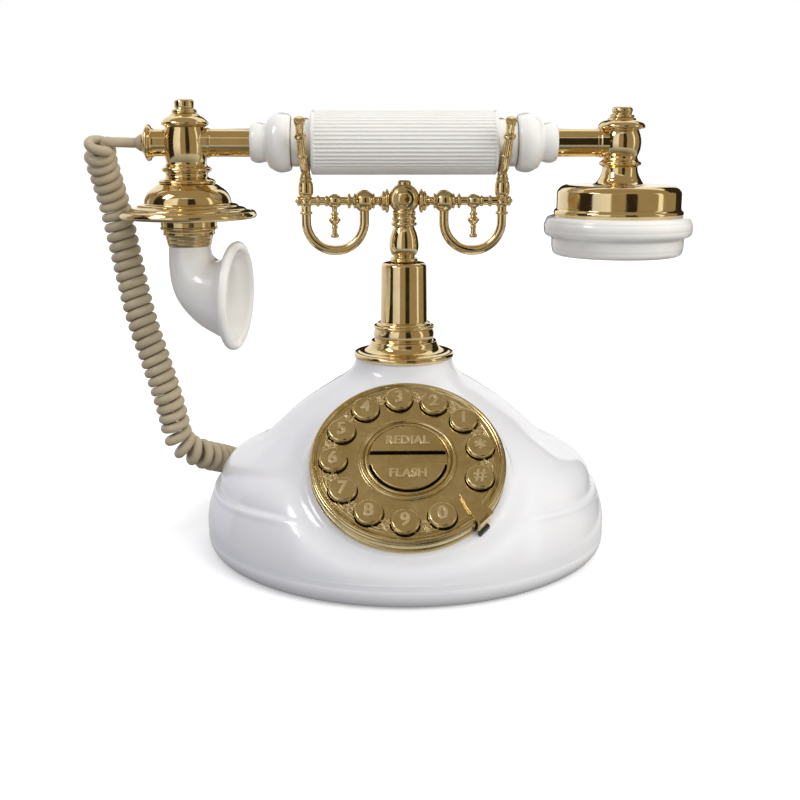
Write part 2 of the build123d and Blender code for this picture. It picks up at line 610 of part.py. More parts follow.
with BuildPart() as receiver_hub:
    turn([(0, 163.2), (11.6, 163.2), (11.2, 164.6), (9.0, 166.0, 8.0, 168.6), (7.4, 170.6, 7.4, 172.0),
          (8.8, 172.4), (9.1, 173.4, 8.5, 174.6), (7.7, 175.2), (7.0, 178.2, 7.9, 182.4),
          (8.1, 185.4, 7.6, 187.4), (9.8, 187.8), (10.4, 189.8, 9.6, 191.6), (6.0, 192.6), (0, 192.6)],
         origin=right_end)
    with BuildSketch(Plane.YZ.offset(SOCKET_END)):
        with Locations((0, HANDSET_Z)):
            Circle(7.0)
    extrude(amount=HUB_X - SOCKET_END)
save(receiver_hub, "receiver_hub")

with BuildPart() as receiver_cup:
    turn([(0, 163.2), (25.2, 163.2), (27.2, 162.6, 27.9, 160.8), (27.9, 152.4), (28.9, 151.8),
          (29.3, 150.7, 28.9, 149.5), (25.4, 149.5), (25.4, 161), (0, 161)], origin=right_end)
save(receiver_cup, "receiver_cup")

with BuildPart() as ear_cap:
    turn([(0, 130.6), (16, 130.4), (24, 129.3), (27.0, 129.3), (29.6, 130.2, 30.6, 132.4), (30.7, 137.6),
          (31.4, 138.4), (33.1, 140.6, EAR_RADIUS, 144.0), (32.9, 147.4, 30.6, 149.5), (25.4, 149.5),
          (25.4, 133.4), (0, 133.4)], origin=right_end)
    with BuildSketch(Plane.XY.offset(125)):
        with Locations((HUB_X, 0)):
            Circle(1.4)
            with PolarLocations(6.5, 6):
                Circle(1.4)
            with PolarLocations(12.5, 12):
                Circle(1.4)
    extrude(amount=12, mode=Mode.SUBTRACT)
save(ear_cap, "ear_cap")

with BuildPart() as earphone:
    turn([(0, 134.6), (6, 134.6), (6, 133.4), (25.4, 133.4), (25.4, 137), (14, 139), (14, 146), (0, 146)],
         origin=right_end)
save(earphone, "earphone")

# ---- cord ---------------------------------------------------------------
COIL_ROUTE = [(-137, 4, 186), (-135.5, 8, 168), (-132, 15, 150), (-128.5, 16, 126), (-124, 13, 101),
              (-117, 11, 78), (-111.5, 11, 57), (-108, 13, 41), (-97, 18, 32), (-89, 33, 26),
              (-84, 54, 18), (-80, 75, 13)]
PLUG_OUT = 10.0
plug_end = skirt_plane(JACK_ANGLES["handset_jack"]).offset(PLUG_OUT)
plug_way = plug_end.z_dir
plug_tail = plug_end.origin + plug_way * 13
LOWER_ROUTE = [COIL_ROUTE[-1], (-77.7, 87.5, 10), (-70.8, 97.3, 11), (-58.2, 101.2, 15),
               tuple(plug_tail), tuple(plug_end.origin)]
UPPER_ROUTE = [(RELIEF_END, 0, HANDSET_Z), (-129.4, 0.6, HANDSET_Z + 0.4)]

with BuildPart() as cord_coil:
    coil_radii = arc_radii(COIL_ROUTE)
    coil_length = pipe(COIL_ROUTE, COIL_DIAMETER, coil_radii)
save(cord_coil, "cord_coil")

with BuildPart() as cord_tail_lower:
    tail_radii = arc_radii(LOWER_ROUTE)
    tail_length = pipe(LOWER_ROUTE, WIRE_DIAMETER, tail_radii)
save(cord_tail_lower, "cord_tail_lower")

with BuildPart() as cord_tail_upper:
    with BuildLine() as upper_line:
        Line(*UPPER_ROUTE)
    with BuildSketch(Plane(origin=UPPER_ROUTE[0], z_dir=(-1, 0, 0))):
        Circle(WIRE_DIAMETER / 2)
    sweep(path=upper_line.line)
save(cord_tail_upper, "cord_tail_upper")

with BuildPart() as modular_plug:
    with BuildSketch(plug_end):
        Rectangle(7.6, 6.3)
    extrude(amount=-PLUG_OUT - 12.5)
save(modular_plug, "modular_plug")

for label, piece, section, length, radii in (
    ("coil", cord_coil, COIL_DIAMETER, coil_length, coil_radii),
    ("lower tail", cord_tail_lower, WIRE_DIAMETER, tail_length, tail_radii),
):
    ratio = piece.part.volume / (pi * section**2 / 4 * length)
    print(label, "length", round(length, 1), "volume ratio", round(ratio, 4))
    print("  bend radii", [round(radius, 1) for radius in radii])
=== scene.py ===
"""The looks of the French boudoir telephone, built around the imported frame.

Lengths are in millimetres until mesh_piece.
"""

from math import acos, atan2, ceil, cos, degrees, hypot, pi, radians, sin, sqrt

import bmesh
import bpy
import numpy as np
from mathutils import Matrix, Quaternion, Vector


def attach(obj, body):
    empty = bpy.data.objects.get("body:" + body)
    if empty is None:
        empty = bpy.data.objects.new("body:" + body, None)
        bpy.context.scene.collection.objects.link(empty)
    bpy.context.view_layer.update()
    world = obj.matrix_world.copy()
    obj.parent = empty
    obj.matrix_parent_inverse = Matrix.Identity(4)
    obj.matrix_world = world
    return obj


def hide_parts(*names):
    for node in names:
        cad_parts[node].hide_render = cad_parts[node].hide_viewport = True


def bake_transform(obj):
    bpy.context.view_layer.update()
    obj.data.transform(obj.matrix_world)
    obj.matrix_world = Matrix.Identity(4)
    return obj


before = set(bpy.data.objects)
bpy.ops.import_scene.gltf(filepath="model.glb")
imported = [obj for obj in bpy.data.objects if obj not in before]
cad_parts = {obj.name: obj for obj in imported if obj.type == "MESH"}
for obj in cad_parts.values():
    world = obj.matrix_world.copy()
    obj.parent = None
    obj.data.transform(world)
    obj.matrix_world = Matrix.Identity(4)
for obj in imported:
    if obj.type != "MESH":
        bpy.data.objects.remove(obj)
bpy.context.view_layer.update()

MM = 0.001

# ---- dimensions shared with the CAD ---------------------------------------
BASE_SHIFT = 9.0
PAN_TOP = 11.0
DIAL_ORIGIN = Vector((0, -66.0, 53.8))
DIAL_TILT = radians(50.7)
DIAL_NORMAL = Vector((0, -cos(DIAL_TILT), sin(DIAL_TILT)))
DIAL_UP = Vector((0, sin(DIAL_TILT), cos(DIAL_TILT)))
KEY_RING = 31.0
KEY_RADIUS = 5.9
MOON_RADIUS = 15.8
BRIDGE_HALF = 3.2
BAR_Z = 156.2
FORK_X = 44.2
HANDSET_Z = 181.8
HUB_X = 97.2
CENTRE, UP = (0, 0, 0), (0, 0, 1)
LEFT_END = (-HUB_X, 0, 0)
RIGHT_END = (HUB_X, 0, 0)
HANDSET_AXIS = (0, 0, HANDSET_Z)
HANDSET_JACK_ANGLE, SLIDER_ANGLE, LINE_JACK_ANGLE = 114.0, 93.0, 72.0
SKIRT_RADIUS = 90
JACK_Z = 19.0

# ---- camera ---------------------------------------------------------------
FOCAL_PIXELS = 1160.0
CAMERA_DISTANCE = 530.0
CAMERA_HEIGHT = 185.2
CAMERA_PITCH = 12.87
CAMERA_TURN = -1.2
CAMERA_ASIDE = -1.85

def linked(name, data):
    """A new object in the scene."""
    made = bpy.data.objects.new(name, data)
    bpy.context.scene.collection.objects.link(made)
    return made


camera_data = bpy.data.cameras.new("camera")
camera_data.sensor_width = 36.0
camera_data.lens = 36.0 * FOCAL_PIXELS / 800
camera = linked("camera", camera_data)
camera.rotation_euler = (radians(90 - CAMERA_PITCH), 0, radians(CAMERA_TURN))
camera.location = Vector((CAMERA_ASIDE + CAMERA_DISTANCE * sin(radians(CAMERA_TURN)),
                          -CAMERA_DISTANCE * cos(radians(CAMERA_TURN)), CAMERA_HEIGHT)) * MM
bpy.context.scene.camera = camera


# ---- materials ------------------------------------------------------------
def ranged(tree, source, start, stop, low, high):
    """A value that runs from low to high as the source runs from start to stop."""
    node = tree.nodes.new("ShaderNodeMapRange")
    for socket, value in (("From Min", start), ("From Max", stop), ("To Min", low), ("To Max", high)):
        node.inputs[socket].default_value = value
    tree.links.new(source, node.inputs["Value"])
    return node.outputs["Result"]


def mixed(tree, factor, first, second):
    """Two colours mixed by a factor. Each is three numbers or another node's output."""
    node = tree.nodes.new("ShaderNodeMix")
    node.data_type = "RGBA"
    tree.links.new(factor, node.inputs["Factor"])
    for socket, value in ((node.inputs[6], first), (node.inputs[7], second)):
        if isinstance(value, tuple):
            socket.default_value = (*value, 1)
        else:
            tree.links.new(value, socket)
    return node.outputs[2]


class Shader:
    """A principled material with noise-driven roughness, colour variation and bump."""

    def __init__(self, name, roughness, **sockets):
        self.material = bpy.data.materials.new(name)
        self.material.use_nodes = True
        self.tree = self.material.node_tree
        self.bsdf = self.tree.nodes["Principled BSDF"]
        self.bsdf.inputs["Roughness"].default_value = roughness
        for socket, value in sockets.items():
            self.bsdf.inputs[socket.replace("_", " ")].default_value = value
        self.place = self.node("ShaderNodeTexCoord").outputs["Object"]
        self.height = None

    def node(self, kind, **settings):
        node = self.tree.nodes.new(kind)
        for setting, value in settings.items():
            setattr(node, setting, value)
        return node

    def link(self, source, target):
        self.tree.links.new(source, target)

    def noise(self, scale, detail=3.0, roughness=0.55, stretch=None):
        node = self.node("ShaderNodeTexNoise")
        node.inputs["Scale"].default_value = scale
        node.inputs["Detail"].default_value = detail
        node.inputs["Roughness"].default_value = roughness
        if stretch:
            mapping = self.node("ShaderNodeMapping")
            mapping.inputs["Scale"].default_value = stretch
            self.link(self.place, mapping.inputs["Vector"])
            self.link(mapping.outputs["Vector"], node.inputs["Vector"])
        else:
            self.link(self.place, node.inputs["Vector"])
        return node.outputs["Fac"]

    def spread(self, source, low, high, start=0.3, stop=0.7):
        return ranged(self.tree, source, start, stop, low, high)

    def rough(self, source, low, high):
        self.link(self.spread(source, low, high), self.bsdf.inputs["Roughness"])
        return self

    def mix(self, factor, first, second):
        return mixed(self.tree, factor, first, second)

    def clouded(self, dark, light, *noise, start=0.3, stop=0.7):
        """Two colours in soft patches."""
        return self.mix(self.spread(self.noise(*noise), 0, 1, start, stop), dark, light)

    def colour(self, source):
        self.link(source, self.bsdf.inputs["Base Color"])
        return self

    def bump(self, source, distance, strength=1.0):
        """Stack a layer of relief; distance is in millimetres."""
        node = self.node("ShaderNodeBump")
        node.inputs["Strength"].default_value = strength
        node.inputs["Distance"].default_value = distance * MM
        self.link(source, node.inputs["Height"])
        if self.height:
            self.link(self.height, node.inputs["Normal"])
        self.height = node.outputs["Normal"]
        self.link(self.height, self.bsdf.inputs["Normal"])
        return self

    def edges(self, low=0.47, high=0.56):
        """Painted shade: a pointiness mask from 0 in crevices, which get darkened, to 1 on flat faces and edges."""
        geometry = self.node("ShaderNodeNewGeometry")
        return self.spread(geometry.outputs["Pointiness"], 0.0, 1.0, low, high)


def plastic(name, light, shade, roughness=(0.12, 0.24)):
    made = Shader(name, roughness[0], Specular_IOR_Level=0.55, Coat_Weight=0.35, Coat_Roughness=0.06,
                  Subsurface_Weight=0.06, Subsurface_Scale=0.002)
    made.colour(made.clouded(shade, light, 26, 4))
    made.rough(made.noise(140, 5, 0.65), *roughness)
    made.bump(made.noise(520, 2), 0.012, 0.35)
    made.bump(made.noise(60, 1), 0.05, 0.25)
    return made.material


def plating(name, bright, deep, roughness=(0.05, 0.15), wave=0.05):
    made = Shader(name, roughness[0], Metallic=1.0)
    patina = made.clouded(bright, deep, 75, 5, 0.6, start=0.35, stop=0.75)
    # painted shade: crevices darkened to 0.45 of the deep colour
    made.colour(made.mix(made.edges(0.44, 0.5), tuple(c * 0.45 for c in deep), patina))
    made.rough(made.noise(260, 6, 0.7), *roughness)
    made.bump(made.noise(85, 2), wave, 0.4)
    made.bump(made.noise(900, 3, 0.6), 0.006, 0.5)
    return made.material


WHITE_BASE = plastic("white_base_gloss", (0.76, 0.76, 0.78), (0.73, 0.73, 0.755))
WHITE_HANDSET = plastic("white_handset_gloss", (0.82, 0.81, 0.78), (0.79, 0.775, 0.74))
GOLD = plating("polished_gold", (0.88, 0.71, 0.40), (0.79, 0.60, 0.29))

made = Shader("antique_gold_satin", 0.24, Metallic=1.0)
aged = made.clouded((0.68, 0.55, 0.29), (0.80, 0.67, 0.39), 210, 5, 0.65)
aged = made.clouded(aged, (0.58, 0.44, 0.19), 48, 3, start=0.4, stop=0.8)
# painted shade: crevices darkened to a deep brown
made.colour(made.mix(made.edges(0.44, 0.50), (0.16, 0.10, 0.03), aged))
made.rough(made.noise(330, 6, 0.7), 0.16, 0.30)
made.bump(made.noise(640, 5, 0.65), 0.02, 0.6).bump(made.noise(120, 2), 0.04, 0.3)
ANTIQUE = made.material

# painted highlight: a paler, rougher gold than the dial for the raised digits, words and scrollwork, so they read
# bright
made = Shader("relief_gold_painted_highlight", 0.42, Metallic=1.0)
made.colour(made.clouded((0.80, 0.67, 0.40), (0.95, 0.84, 0.58), 240, 5))
made.rough(made.noise(330, 6, 0.7), 0.36, 0.5).bump(made.noise(640, 5, 0.65), 0.015, 0.5)
HIGHLIT_RELIEF = made.material

made = Shader("cord_vinyl", 0.42, Specular_IOR_Level=0.45, Sheen_Weight=0.08)
made.colour(made.clouded((0.41, 0.335, 0.215), (0.50, 0.42, 0.285), 90, 5))
made.rough(made.noise(300, 5), 0.32, 0.5).bump(made.noise(1400, 3), 0.02, 0.4)
CORD = made.material

made = Shader("brushed_steel", 0.3, Metallic=1.0)
made.colour(made.mix(made.noise(400, 4, 0.6, (1, 1, 12)), (0.46, 0.46, 0.48), (0.62, 0.62, 0.63)))
made.rough(made.noise(700, 4, 0.6, (1, 1, 14)), 0.22, 0.4).bump(made.noise(1200, 3, 0.6, (1, 1, 14)), 0.01)
STEEL = made.material

made = Shader("circuit_board", 0.5)
traces = made.node("ShaderNodeTexBrick")
for socket, value in (("Scale", 90.0), ("Mortar Size", 0.03)):
    traces.inputs[socket].default_value = value
made.link(made.place, traces.inputs["Vector"])
board_green = made.mix(made.noise(300, 4), (0.01, 0.09, 0.035), (0.02, 0.14, 0.06))
made.colour(made.mix(traces.outputs["Fac"], board_green, (0.05, 0.24, 0.10)))
made.rough(made.noise(500, 3), 0.35, 0.6).bump(traces.outputs["Fac"], 0.04)
BOARD = made.material


def moulded(name, dark, light, roughness, grain=0.04, **sockets):
    made = Shader(name, roughness[0], **sockets)
    made.colour(made.clouded(dark, light, 180, 4))
    made.rough(made.noise(700, 4), *roughness).bump(made.noise(1600, 4, 0.6), grain, 0.6)
    return made.material


BLACK = moulded("black_moulded", (0.012, 0.012, 0.013), (0.03, 0.03, 0.032), (0.35, 0.6))
RUBBER = moulded("foot_rubber", (0.018, 0.018, 0.018), (0.045, 0.044, 0.042), (0.7, 0.95), 0.08)
CLEAR = moulded("clear_plug_plastic", (0.62, 0.60, 0.53), (0.74, 0.72, 0.65), (0.06, 0.16), 0.01,
                Transmission_Weight=0.55, IOR=1.49)
CONTACT = plating("contact_gold", (0.90, 0.66, 0.25), (0.80, 0.55, 0.18), (0.1, 0.2), 0.01)


# ---- mesh helpers ---------------------------------------------------------
def mesh_piece(name, points, faces, body, material, *nodes, sharp=None):
    """A new piece from points in millimetres. It rides on a body and may stand for CAD nodes."""
    mesh = bpy.data.meshes.new(name)
    mesh.from_pydata([Vector(p) * MM for p in points], [], faces)
    tidy = bmesh.new()
    tidy.from_mesh(mesh)
    bmesh.ops.recalc_face_normals(tidy, faces=tidy.faces)
    tidy.to_mesh(mesh)
    tidy.free()
    return dress(linked(name, mesh), body, material, *nodes, sharp=sharp)


def painted(piece, material):
    piece.data.materials.clear()
    piece.data.materials.append(material)


def dress(piece, body, material, *nodes, sharp=None):
    """Finish a piece, and say what it rides on and which CAD nodes it stands for."""
    piece.data.shade_smooth()
    if sharp:
        piece.data.set_sharp_from_angle(angle=radians(sharp))
    painted(piece, material)
    if body:
        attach(piece, body)
    if nodes:
        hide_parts(*nodes)
    return piece


def arc_points(start, middle, end, step=0.3):
    """Points after start on the arc through middle to end."""
    (ax, ay), (bx, by), (cx, cy) = start, middle, end
    d = 2 * (ax * (by - cy) + bx * (cy - ay) + cx * (ay - by))
    if abs(d) < 1e-6:
        return [end]
    a2, b2, c2 = ax * ax + ay * ay, bx * bx + by * by, cx * cx + cy * cy
    ux = (a2 * (by - cy) + b2 * (cy - ay) + c2 * (ay - by)) / d
    uy = (a2 * (cx - bx) + b2 * (ax - cx) + c2 * (bx - ax)) / d
    radius = hypot(ax - ux, ay - uy)
    first, mid, last = (atan2(y - uy, x - ux) for x, y in (start, middle, end))
    sweep = (last - first) % (2 * pi)
    if (mid - first) % (2 * pi) > sweep:
        sweep -= 2 * pi
    count = max(5, ceil(abs(sweep) * radius / step))
    return [(ux + radius * cos(first + sweep * i / count), uy + radius * sin(first + sweep * i / count))
            for i in range(1, count + 1)]


def softened(outline, soften=0.22, closed=True):
    """An outline of corners and arcs as points, with its corners rounded and long runs held flat."""
    points = [tuple(outline[0])]
    for step in list(outline[1:]) + ([outline[0]] if closed else []):
        if len(step) == 4:
            points += arc_points(points[-1], step[:2], step[2:])
        else:
            points.append(tuple(step))
    if closed:
        points.pop()
    points = [Vector(p) for p in points]
    count, rounded = len(points), []
    for i, here in enumerate(points):
        if not closed and i in (0, count - 1):
            rounded.append(here)
            continue
        before, after = points[i - 1] - here, points[(i + 1) % count] - here
        turn = pi - before.angle(after, pi)
        if turn < 0.33 or here.x < 1e-6:
            rounded.append(here)
            continue
        reach = min(soften, 0.42 * before.length, 0.42 * after.length)
        first, last = here + before.normalized() * reach, here + after.normalized() * reach
        rounded += [first * (1 - t) ** 2 + here * 2 * t * (1 - t) + last * t * t
                    for t in (0, 0.25, 0.5, 0.75, 1)]
    held, count = [], len(rounded)
    for i, here in enumerate(rounded):
        held.append(here)
        if i == count - 1 and not closed:
            break
        run = rounded[(i + 1) % count] - here
        if run.length > 1.0 and max(here.x, rounded[(i + 1) % count].x) > 1e-6:
            held += [here + run.normalized() * 0.25, here + run.normalized() * (run.length - 0.25)]
    return held


def axes_of(axis):
    ahead = Vector(axis).normalized()
    across = Vector((1, 0, 0)) if abs(ahead.x) < 0.9 else Vector((0, 1, 0))
    across = (across - ahead * across.dot(ahead)).normalized()
    return across, ahead.cross(across), ahead


def ring_faces(profile_count, ring_count, closed=True):
    faces = []
    for i in range(profile_count if closed else profile_count - 1):
        a, b = i * ring_count, (i + 1) % profile_count * ring_count
        faces += [(a + j, a + (j + 1) % ring_count, b + (j + 1) % ring_count, b + j)
                  for j in range(ring_count)]
    return faces


def turned_mesh(outline, origin, axis, segments, soften):
    across, up, ahead = axes_of(axis)
    points, faces, rings = [], [], []
    for p in softened(outline, soften):
        if p.x < 1e-5:
            rings.append([len(points)])
            points.append(Vector(origin) + ahead * p.y)
            continue
        rings.append(list(range(len(points), len(points) + segments)))
        for j in range(segments):
            angle = 2 * pi * j / segments
            points.append(Vector(origin) + ahead * p.y + (across * cos(angle) + up * sin(angle)) * p.x)
    for a, b in zip(rings, rings[1:] + rings[:1]):
        if len(a) == 1 and len(b) == 1:
            continue
        for j in range(segments):
            k = (j + 1) % segments
            corners = (a[j % len(a)], a[k % len(a)], b[k % len(b)], b[j % len(b)])
            faces.append(tuple(dict.fromkeys(corners)))
    return points, faces


def turned(name, outlines, body, material, *nodes, segments=96, soften=0.22):
    """A piece made of revolved outlines, each with its origin and axis."""
    return mesh_piece(name, *joined([turned_mesh(*outline, segments, soften) for outline in outlines]),
                      body, material, *nodes)


def drum(radius, low, high):
    """A plain round outline, for a hole or a plug."""
    return [(0, low), (radius, low), (radius, high), (0, high)]


def prism(corners, low, high, place):
    """A flat shape's corners raised between two heights, as a closed shape."""
    points = [place(x, y, height) for height in (low, high) for x, y in corners]
    n = len(corners)
    return points, [tuple(range(n)), tuple(range(n, 2 * n))] + [
        (i, (i + 1) % n, n + (i + 1) % n, n + i) for i in range(n)]


def tube_mesh(path, radius, sides):
    """A capped tube along a path. radius is a number or one per point."""
    path = [Vector(p) for p in path]
    radii = radius if hasattr(radius, "__len__") else [radius] * len(path)
    points, normal = [], None
    for i, here in enumerate(path):
        along = (path[min(i + 1, len(path) - 1)] - path[max(i - 1, 0)]).normalized()
        if normal is None:
            normal = axes_of(along)[0]
        normal = (normal - along * normal.dot(along)).normalized()
        side = along.cross(normal)
        for j in range(sides):
            angle = 2 * pi * j / sides
            points.append(here + (normal * cos(angle) + side * sin(angle)) * radii[i])
    faces = ring_faces(len(path), sides, False)
    faces += [tuple(range(sides)), tuple(range(len(points) - sides, len(points)))]
    return points, faces


def joined(parts):
    points, faces = [], []
    for more, their_faces in parts:
        faces += [tuple(i + len(points) for i in face) for face in their_faces]
        points += list(more)
    return points, faces


def shown_mesh(piece):
    """The piece's mesh with its modifiers applied."""
    bpy.context.view_layer.update()
    evaluated = piece.evaluated_get(bpy.context.evaluated_depsgraph_get())
    mesh = bpy.data.meshes.new_from_object(evaluated)
    piece.modifiers.clear()
    piece.data = mesh
    return piece


def cut(piece, points, faces):
    """Subtract a closed shape from a piece."""
    cutter = mesh_piece("cutter", points, faces, None, BLACK)
    modifier = piece.modifiers.new("cut", "BOOLEAN")
    modifier.operation, modifier.solver, modifier.object = "DIFFERENCE", "EXACT", cutter
    shown_mesh(piece)
    bpy.data.objects.remove(cutter)
    return piece


def block(centre, axes, sizes):
    """A box's corners and faces; axes are three unit vectors."""
    points = [Vector(centre) + sum((Vector(axis) * size * sign / 2
                                    for axis, size, sign in zip(axes, sizes, signs)), Vector())
              for signs in ((x, y, z) for x in (-1, 1) for y in (-1, 1) for z in (-1, 1))]
    return points, [(0, 1, 3, 2), (4, 6, 7, 5), (0, 4, 5, 1), (2, 3, 7, 6), (0, 2, 6, 4), (1, 5, 7, 3)]


def bevelled(piece, width, segments=3, angle=30):
    modifier = piece.modifiers.new("bevel", "BEVEL")
    modifier.width, modifier.segments, modifier.limit_method = width * MM, segments, "ANGLE"
    modifier.angle_limit, modifier.harden_normals = radians(angle), True
    return piece


def smoothstep(value, low, high):
    t = np.clip((value - low) / (high - low), 0, 1)
    return t * t * (3 - 2 * t)


def flowing(rows, count):
    """A smooth curve through rows of values, as count rows."""
    rows = np.array(rows, float)
    ends = np.vstack([2 * rows[0] - rows[1], rows, 2 * rows[-1] - rows[-2]])
    out = []
    for t in np.linspace(0, len(rows) - 1 - 1e-9, count):
        i, f = int(t), t % 1
        a, b, c, d = ends[i:i + 4]
        out.append(b + 0.5 * f * (c - a + f * (2 * a - 5 * b + 4 * c - d + f * (3 * (b - c) + d - a))))
    return np.array(out)


def on_dial(x, y, height):
    return DIAL_ORIGIN + Vector((1, 0, 0)) * x + DIAL_UP * y + DIAL_NORMAL * height


# ---- cord -----------------------------------------------------------------
COIL_ROUTE = [
    (-134.4, -3, 181.8), (-136.4, 4, 175.5), (-134.6, 10, 164), (-132.4, 15, 150), (-128.6, 16, 126),
    (-123.4, 13, 101), (-116, 11, 78), (-110.2, 11, 57), (-108.2, 13, 40), (-97.5, 18, 33), (-89, 33, 27),
    (-84, 54, 18), (-80, 75, 13)]
LOWER_ROUTE = [(-77.7, 87.5, 10), (-70.8, 97.3, 11), (-58.2, 101.2, 15), (-45.96, 94.23, 19),
               (-40.67, 82.35, 19)]
UPPER_ROUTE = [(-119.2, 0, 181.8), (-129.4, 0.6, 182.2)]
WIRE_DIAMETER = 4.4
COIL_MEAN_RADIUS = 5.1
TURN_PITCH = 4.5

route_curve = bpy.data.curves.new("cord_route", "CURVE")
route_curve.dimensions, route_curve.resolution_u = "3D", 40
spline = route_curve.splines.new("NURBS")
control = UPPER_ROUTE + COIL_ROUTE + LOWER_ROUTE
spline.points.add(len(control) - 1)
for point, place in zip(spline.points, control):
    point.co = (*(Vector(place) * MM), 1)
spline.order_u = 3
spline.use_endpoint_u = True
route_object = bpy.data.objects.new("cord_route", route_curve)
route_mesh = bpy.data.meshes.new_from_object(route_object)
route = np.array([v.co for v in route_mesh.vertices]) / MM
bpy.data.objects.remove(route_object)
bpy.data.meshes.remove(route_mesh)

along = np.concatenate([[0], np.cumsum(np.linalg.norm(np.diff(route, axis=0), axis=1))])
STEP = 0.25
BEND_WINDOW = 41
TIGHTEST = 0.06
stations = np.arange(0, along[-1], STEP)
centre = np.stack([np.interp(stations, along, route[:, k]) for k in range(3)], axis=1)
coil_start = stations[np.linalg.norm(centre - COIL_ROUTE[0], axis=1).argmin()] - 1
coil_end = stations[np.linalg.norm(centre - COIL_ROUTE[-1], axis=1).argmin()]
swing = smoothstep(stations, coil_start - 3, coil_start + 2) * (
    1 - smoothstep(stations, coil_end - 4, coil_end + 5))
tangent = np.gradient(centre, axis=0)
tangent /= np.linalg.norm(tangent, axis=1)[:, None]
bend = np.linalg.norm(np.gradient(tangent, axis=0), axis=1) / STEP
bend = np.convolve(bend, np.ones(BEND_WINDOW) / BEND_WINDOW, "same")
pitch = TURN_PITCH * (1 + 1.15 * COIL_MEAN_RADIUS * np.minimum(bend, TIGHTEST))
turn_angle = np.cumsum(2 * pi * STEP / pitch * (swing > 0.02))
normals = [Vector(UP)]
for t in tangent:
    t = Vector(t)
    normals.append((normals[-1] - t * normals[-1].dot(t)).normalized())
normals = np.array(normals[1:])
sides = np.cross(tangent, normals)
wire = (centre + COIL_MEAN_RADIUS * swing[:, None]
        * (normals * np.cos(turn_angle)[:, None] + sides * np.sin(turn_angle)[:, None]))
wire_along = np.concatenate([[0], np.cumsum(np.linalg.norm(np.diff(wire, axis=0), axis=1))])
wire_at = np.linspace(0, wire_along[-1], int(wire_along[-1] / 1.15))
wire_path = np.stack([np.interp(wire_at, wire_along, wire[:, k]) for k in range(3)], axis=1)
cord = mesh_piece("handset_cord", *tube_mesh(wire_path, WIRE_DIAMETER / 2, 12), None, CORD,
                  "cord_coil", "cord_tail_lower", "cord_tail_upper")
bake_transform(cord)

# the modular plug on the cord's far end, and its latch and contacts
plug_out = Vector((cos(radians(HANDSET_JACK_ANGLE)), sin(radians(HANDSET_JACK_ANGLE)), 0))
plug_side = Vector((-plug_out.y, plug_out.x, 0))
plug_axes = (plug_out, plug_side, UP)


def skirt_point(outwards, sideways=0.0, lift=0.0, angle=HANDSET_JACK_ANGLE):
    """A place beside the socket at an angle round the skirt."""
    out = Vector((cos(radians(angle)), sin(radians(angle)), 0))
    return (Vector((0, -BASE_SHIFT, JACK_Z + lift)) + out * (SKIRT_RADIUS + outwards)
            + Vector((-out.y, out.x, 0)) * sideways)


plug = mesh_piece("modular_plug_body", *joined([
    block(skirt_point(-1.25), plug_axes, (22.5, 7.6, 5.0)),
    block(skirt_point(4.0, lift=3.0), plug_axes, (9.0, 3.0, 1.0)),
    block(skirt_point(8.0), plug_axes, (3.8, 6.4, 6.2))]), "base", CLEAR, "modular_plug", sharp=30)
bevelled(plug, 0.35)
contacts = mesh_piece("modular_plug_contacts", *joined([
    block(skirt_point(-9.5, side * 1.1, -2.3), plug_axes, (4.0, 0.45, 0.9)) for side in (-1.5, -0.5, 0.5, 1.5)]),
    "base", CONTACT, sharp=30)

# ---- base housing ---------------------------------------------------------
SIDE_PROFILE = [(91, 21.5), (84, 21.5), (82.5, 22.0), (77.4, 26.2), (70.9, 36.5), (61.0, 51.0), (51.6, 61.4),
                (46.5, 67.8), (41.5, 78.2), (36.0, 83.4), (30.0, 85.9), (22.5, 88.8), (16.0, 90.2),
                (PAN_TOP, 90.3), (6, 90.3)]
# the front stands further out than the sides at these heights, to carry the dial
FRONT_RADII = {61.0: 51.6, 51.6: 64.5, 46.5: 71.2, 41.5: 77.6, 36.0: 82.6}
FRONT_PROFILE = [(z, FRONT_RADII.get(z, r)) for z, r in SIDE_PROFILE]
heights = np.arange(0, 95, 0.1)
BOSS_RADIUS = 44


def radius_table(profile, window):
    rows = flowing([(z, r) for z, r in profile[::-1]], 1500)
    radii = np.interp(heights, rows[:, 0], rows[:, 1])
    pad = window // 2
    return np.convolve(np.pad(radii, pad, "edge"), np.ones(window) / window, "valid")


side_radii, front_radii = radius_table(SIDE_PROFILE, 13), radius_table(FRONT_PROFILE, 31)


def smooth_max(a, b, k):
    return 0.5 * (a + b + np.sqrt((a - b) ** 2 + k * k))


def smooth_min(a, b, k):
    return -smooth_max(-a, -b, k)


def widening(x):
    """The skirt is a little wider than it is deep: how far out a side point goes."""
    return (1.2 * np.sign(x) + 0.5) * smoothstep(np.abs(x), 50, 86)


def seen_from_dial(p):
    """Height above the dial's plane and distance from its axis."""
    q = p - np.array(DIAL_ORIGIN)
    h = q @ np.array(DIAL_NORMAL)
    return h, np.sqrt(np.maximum((q ** 2).sum(1) - h * h, 0))


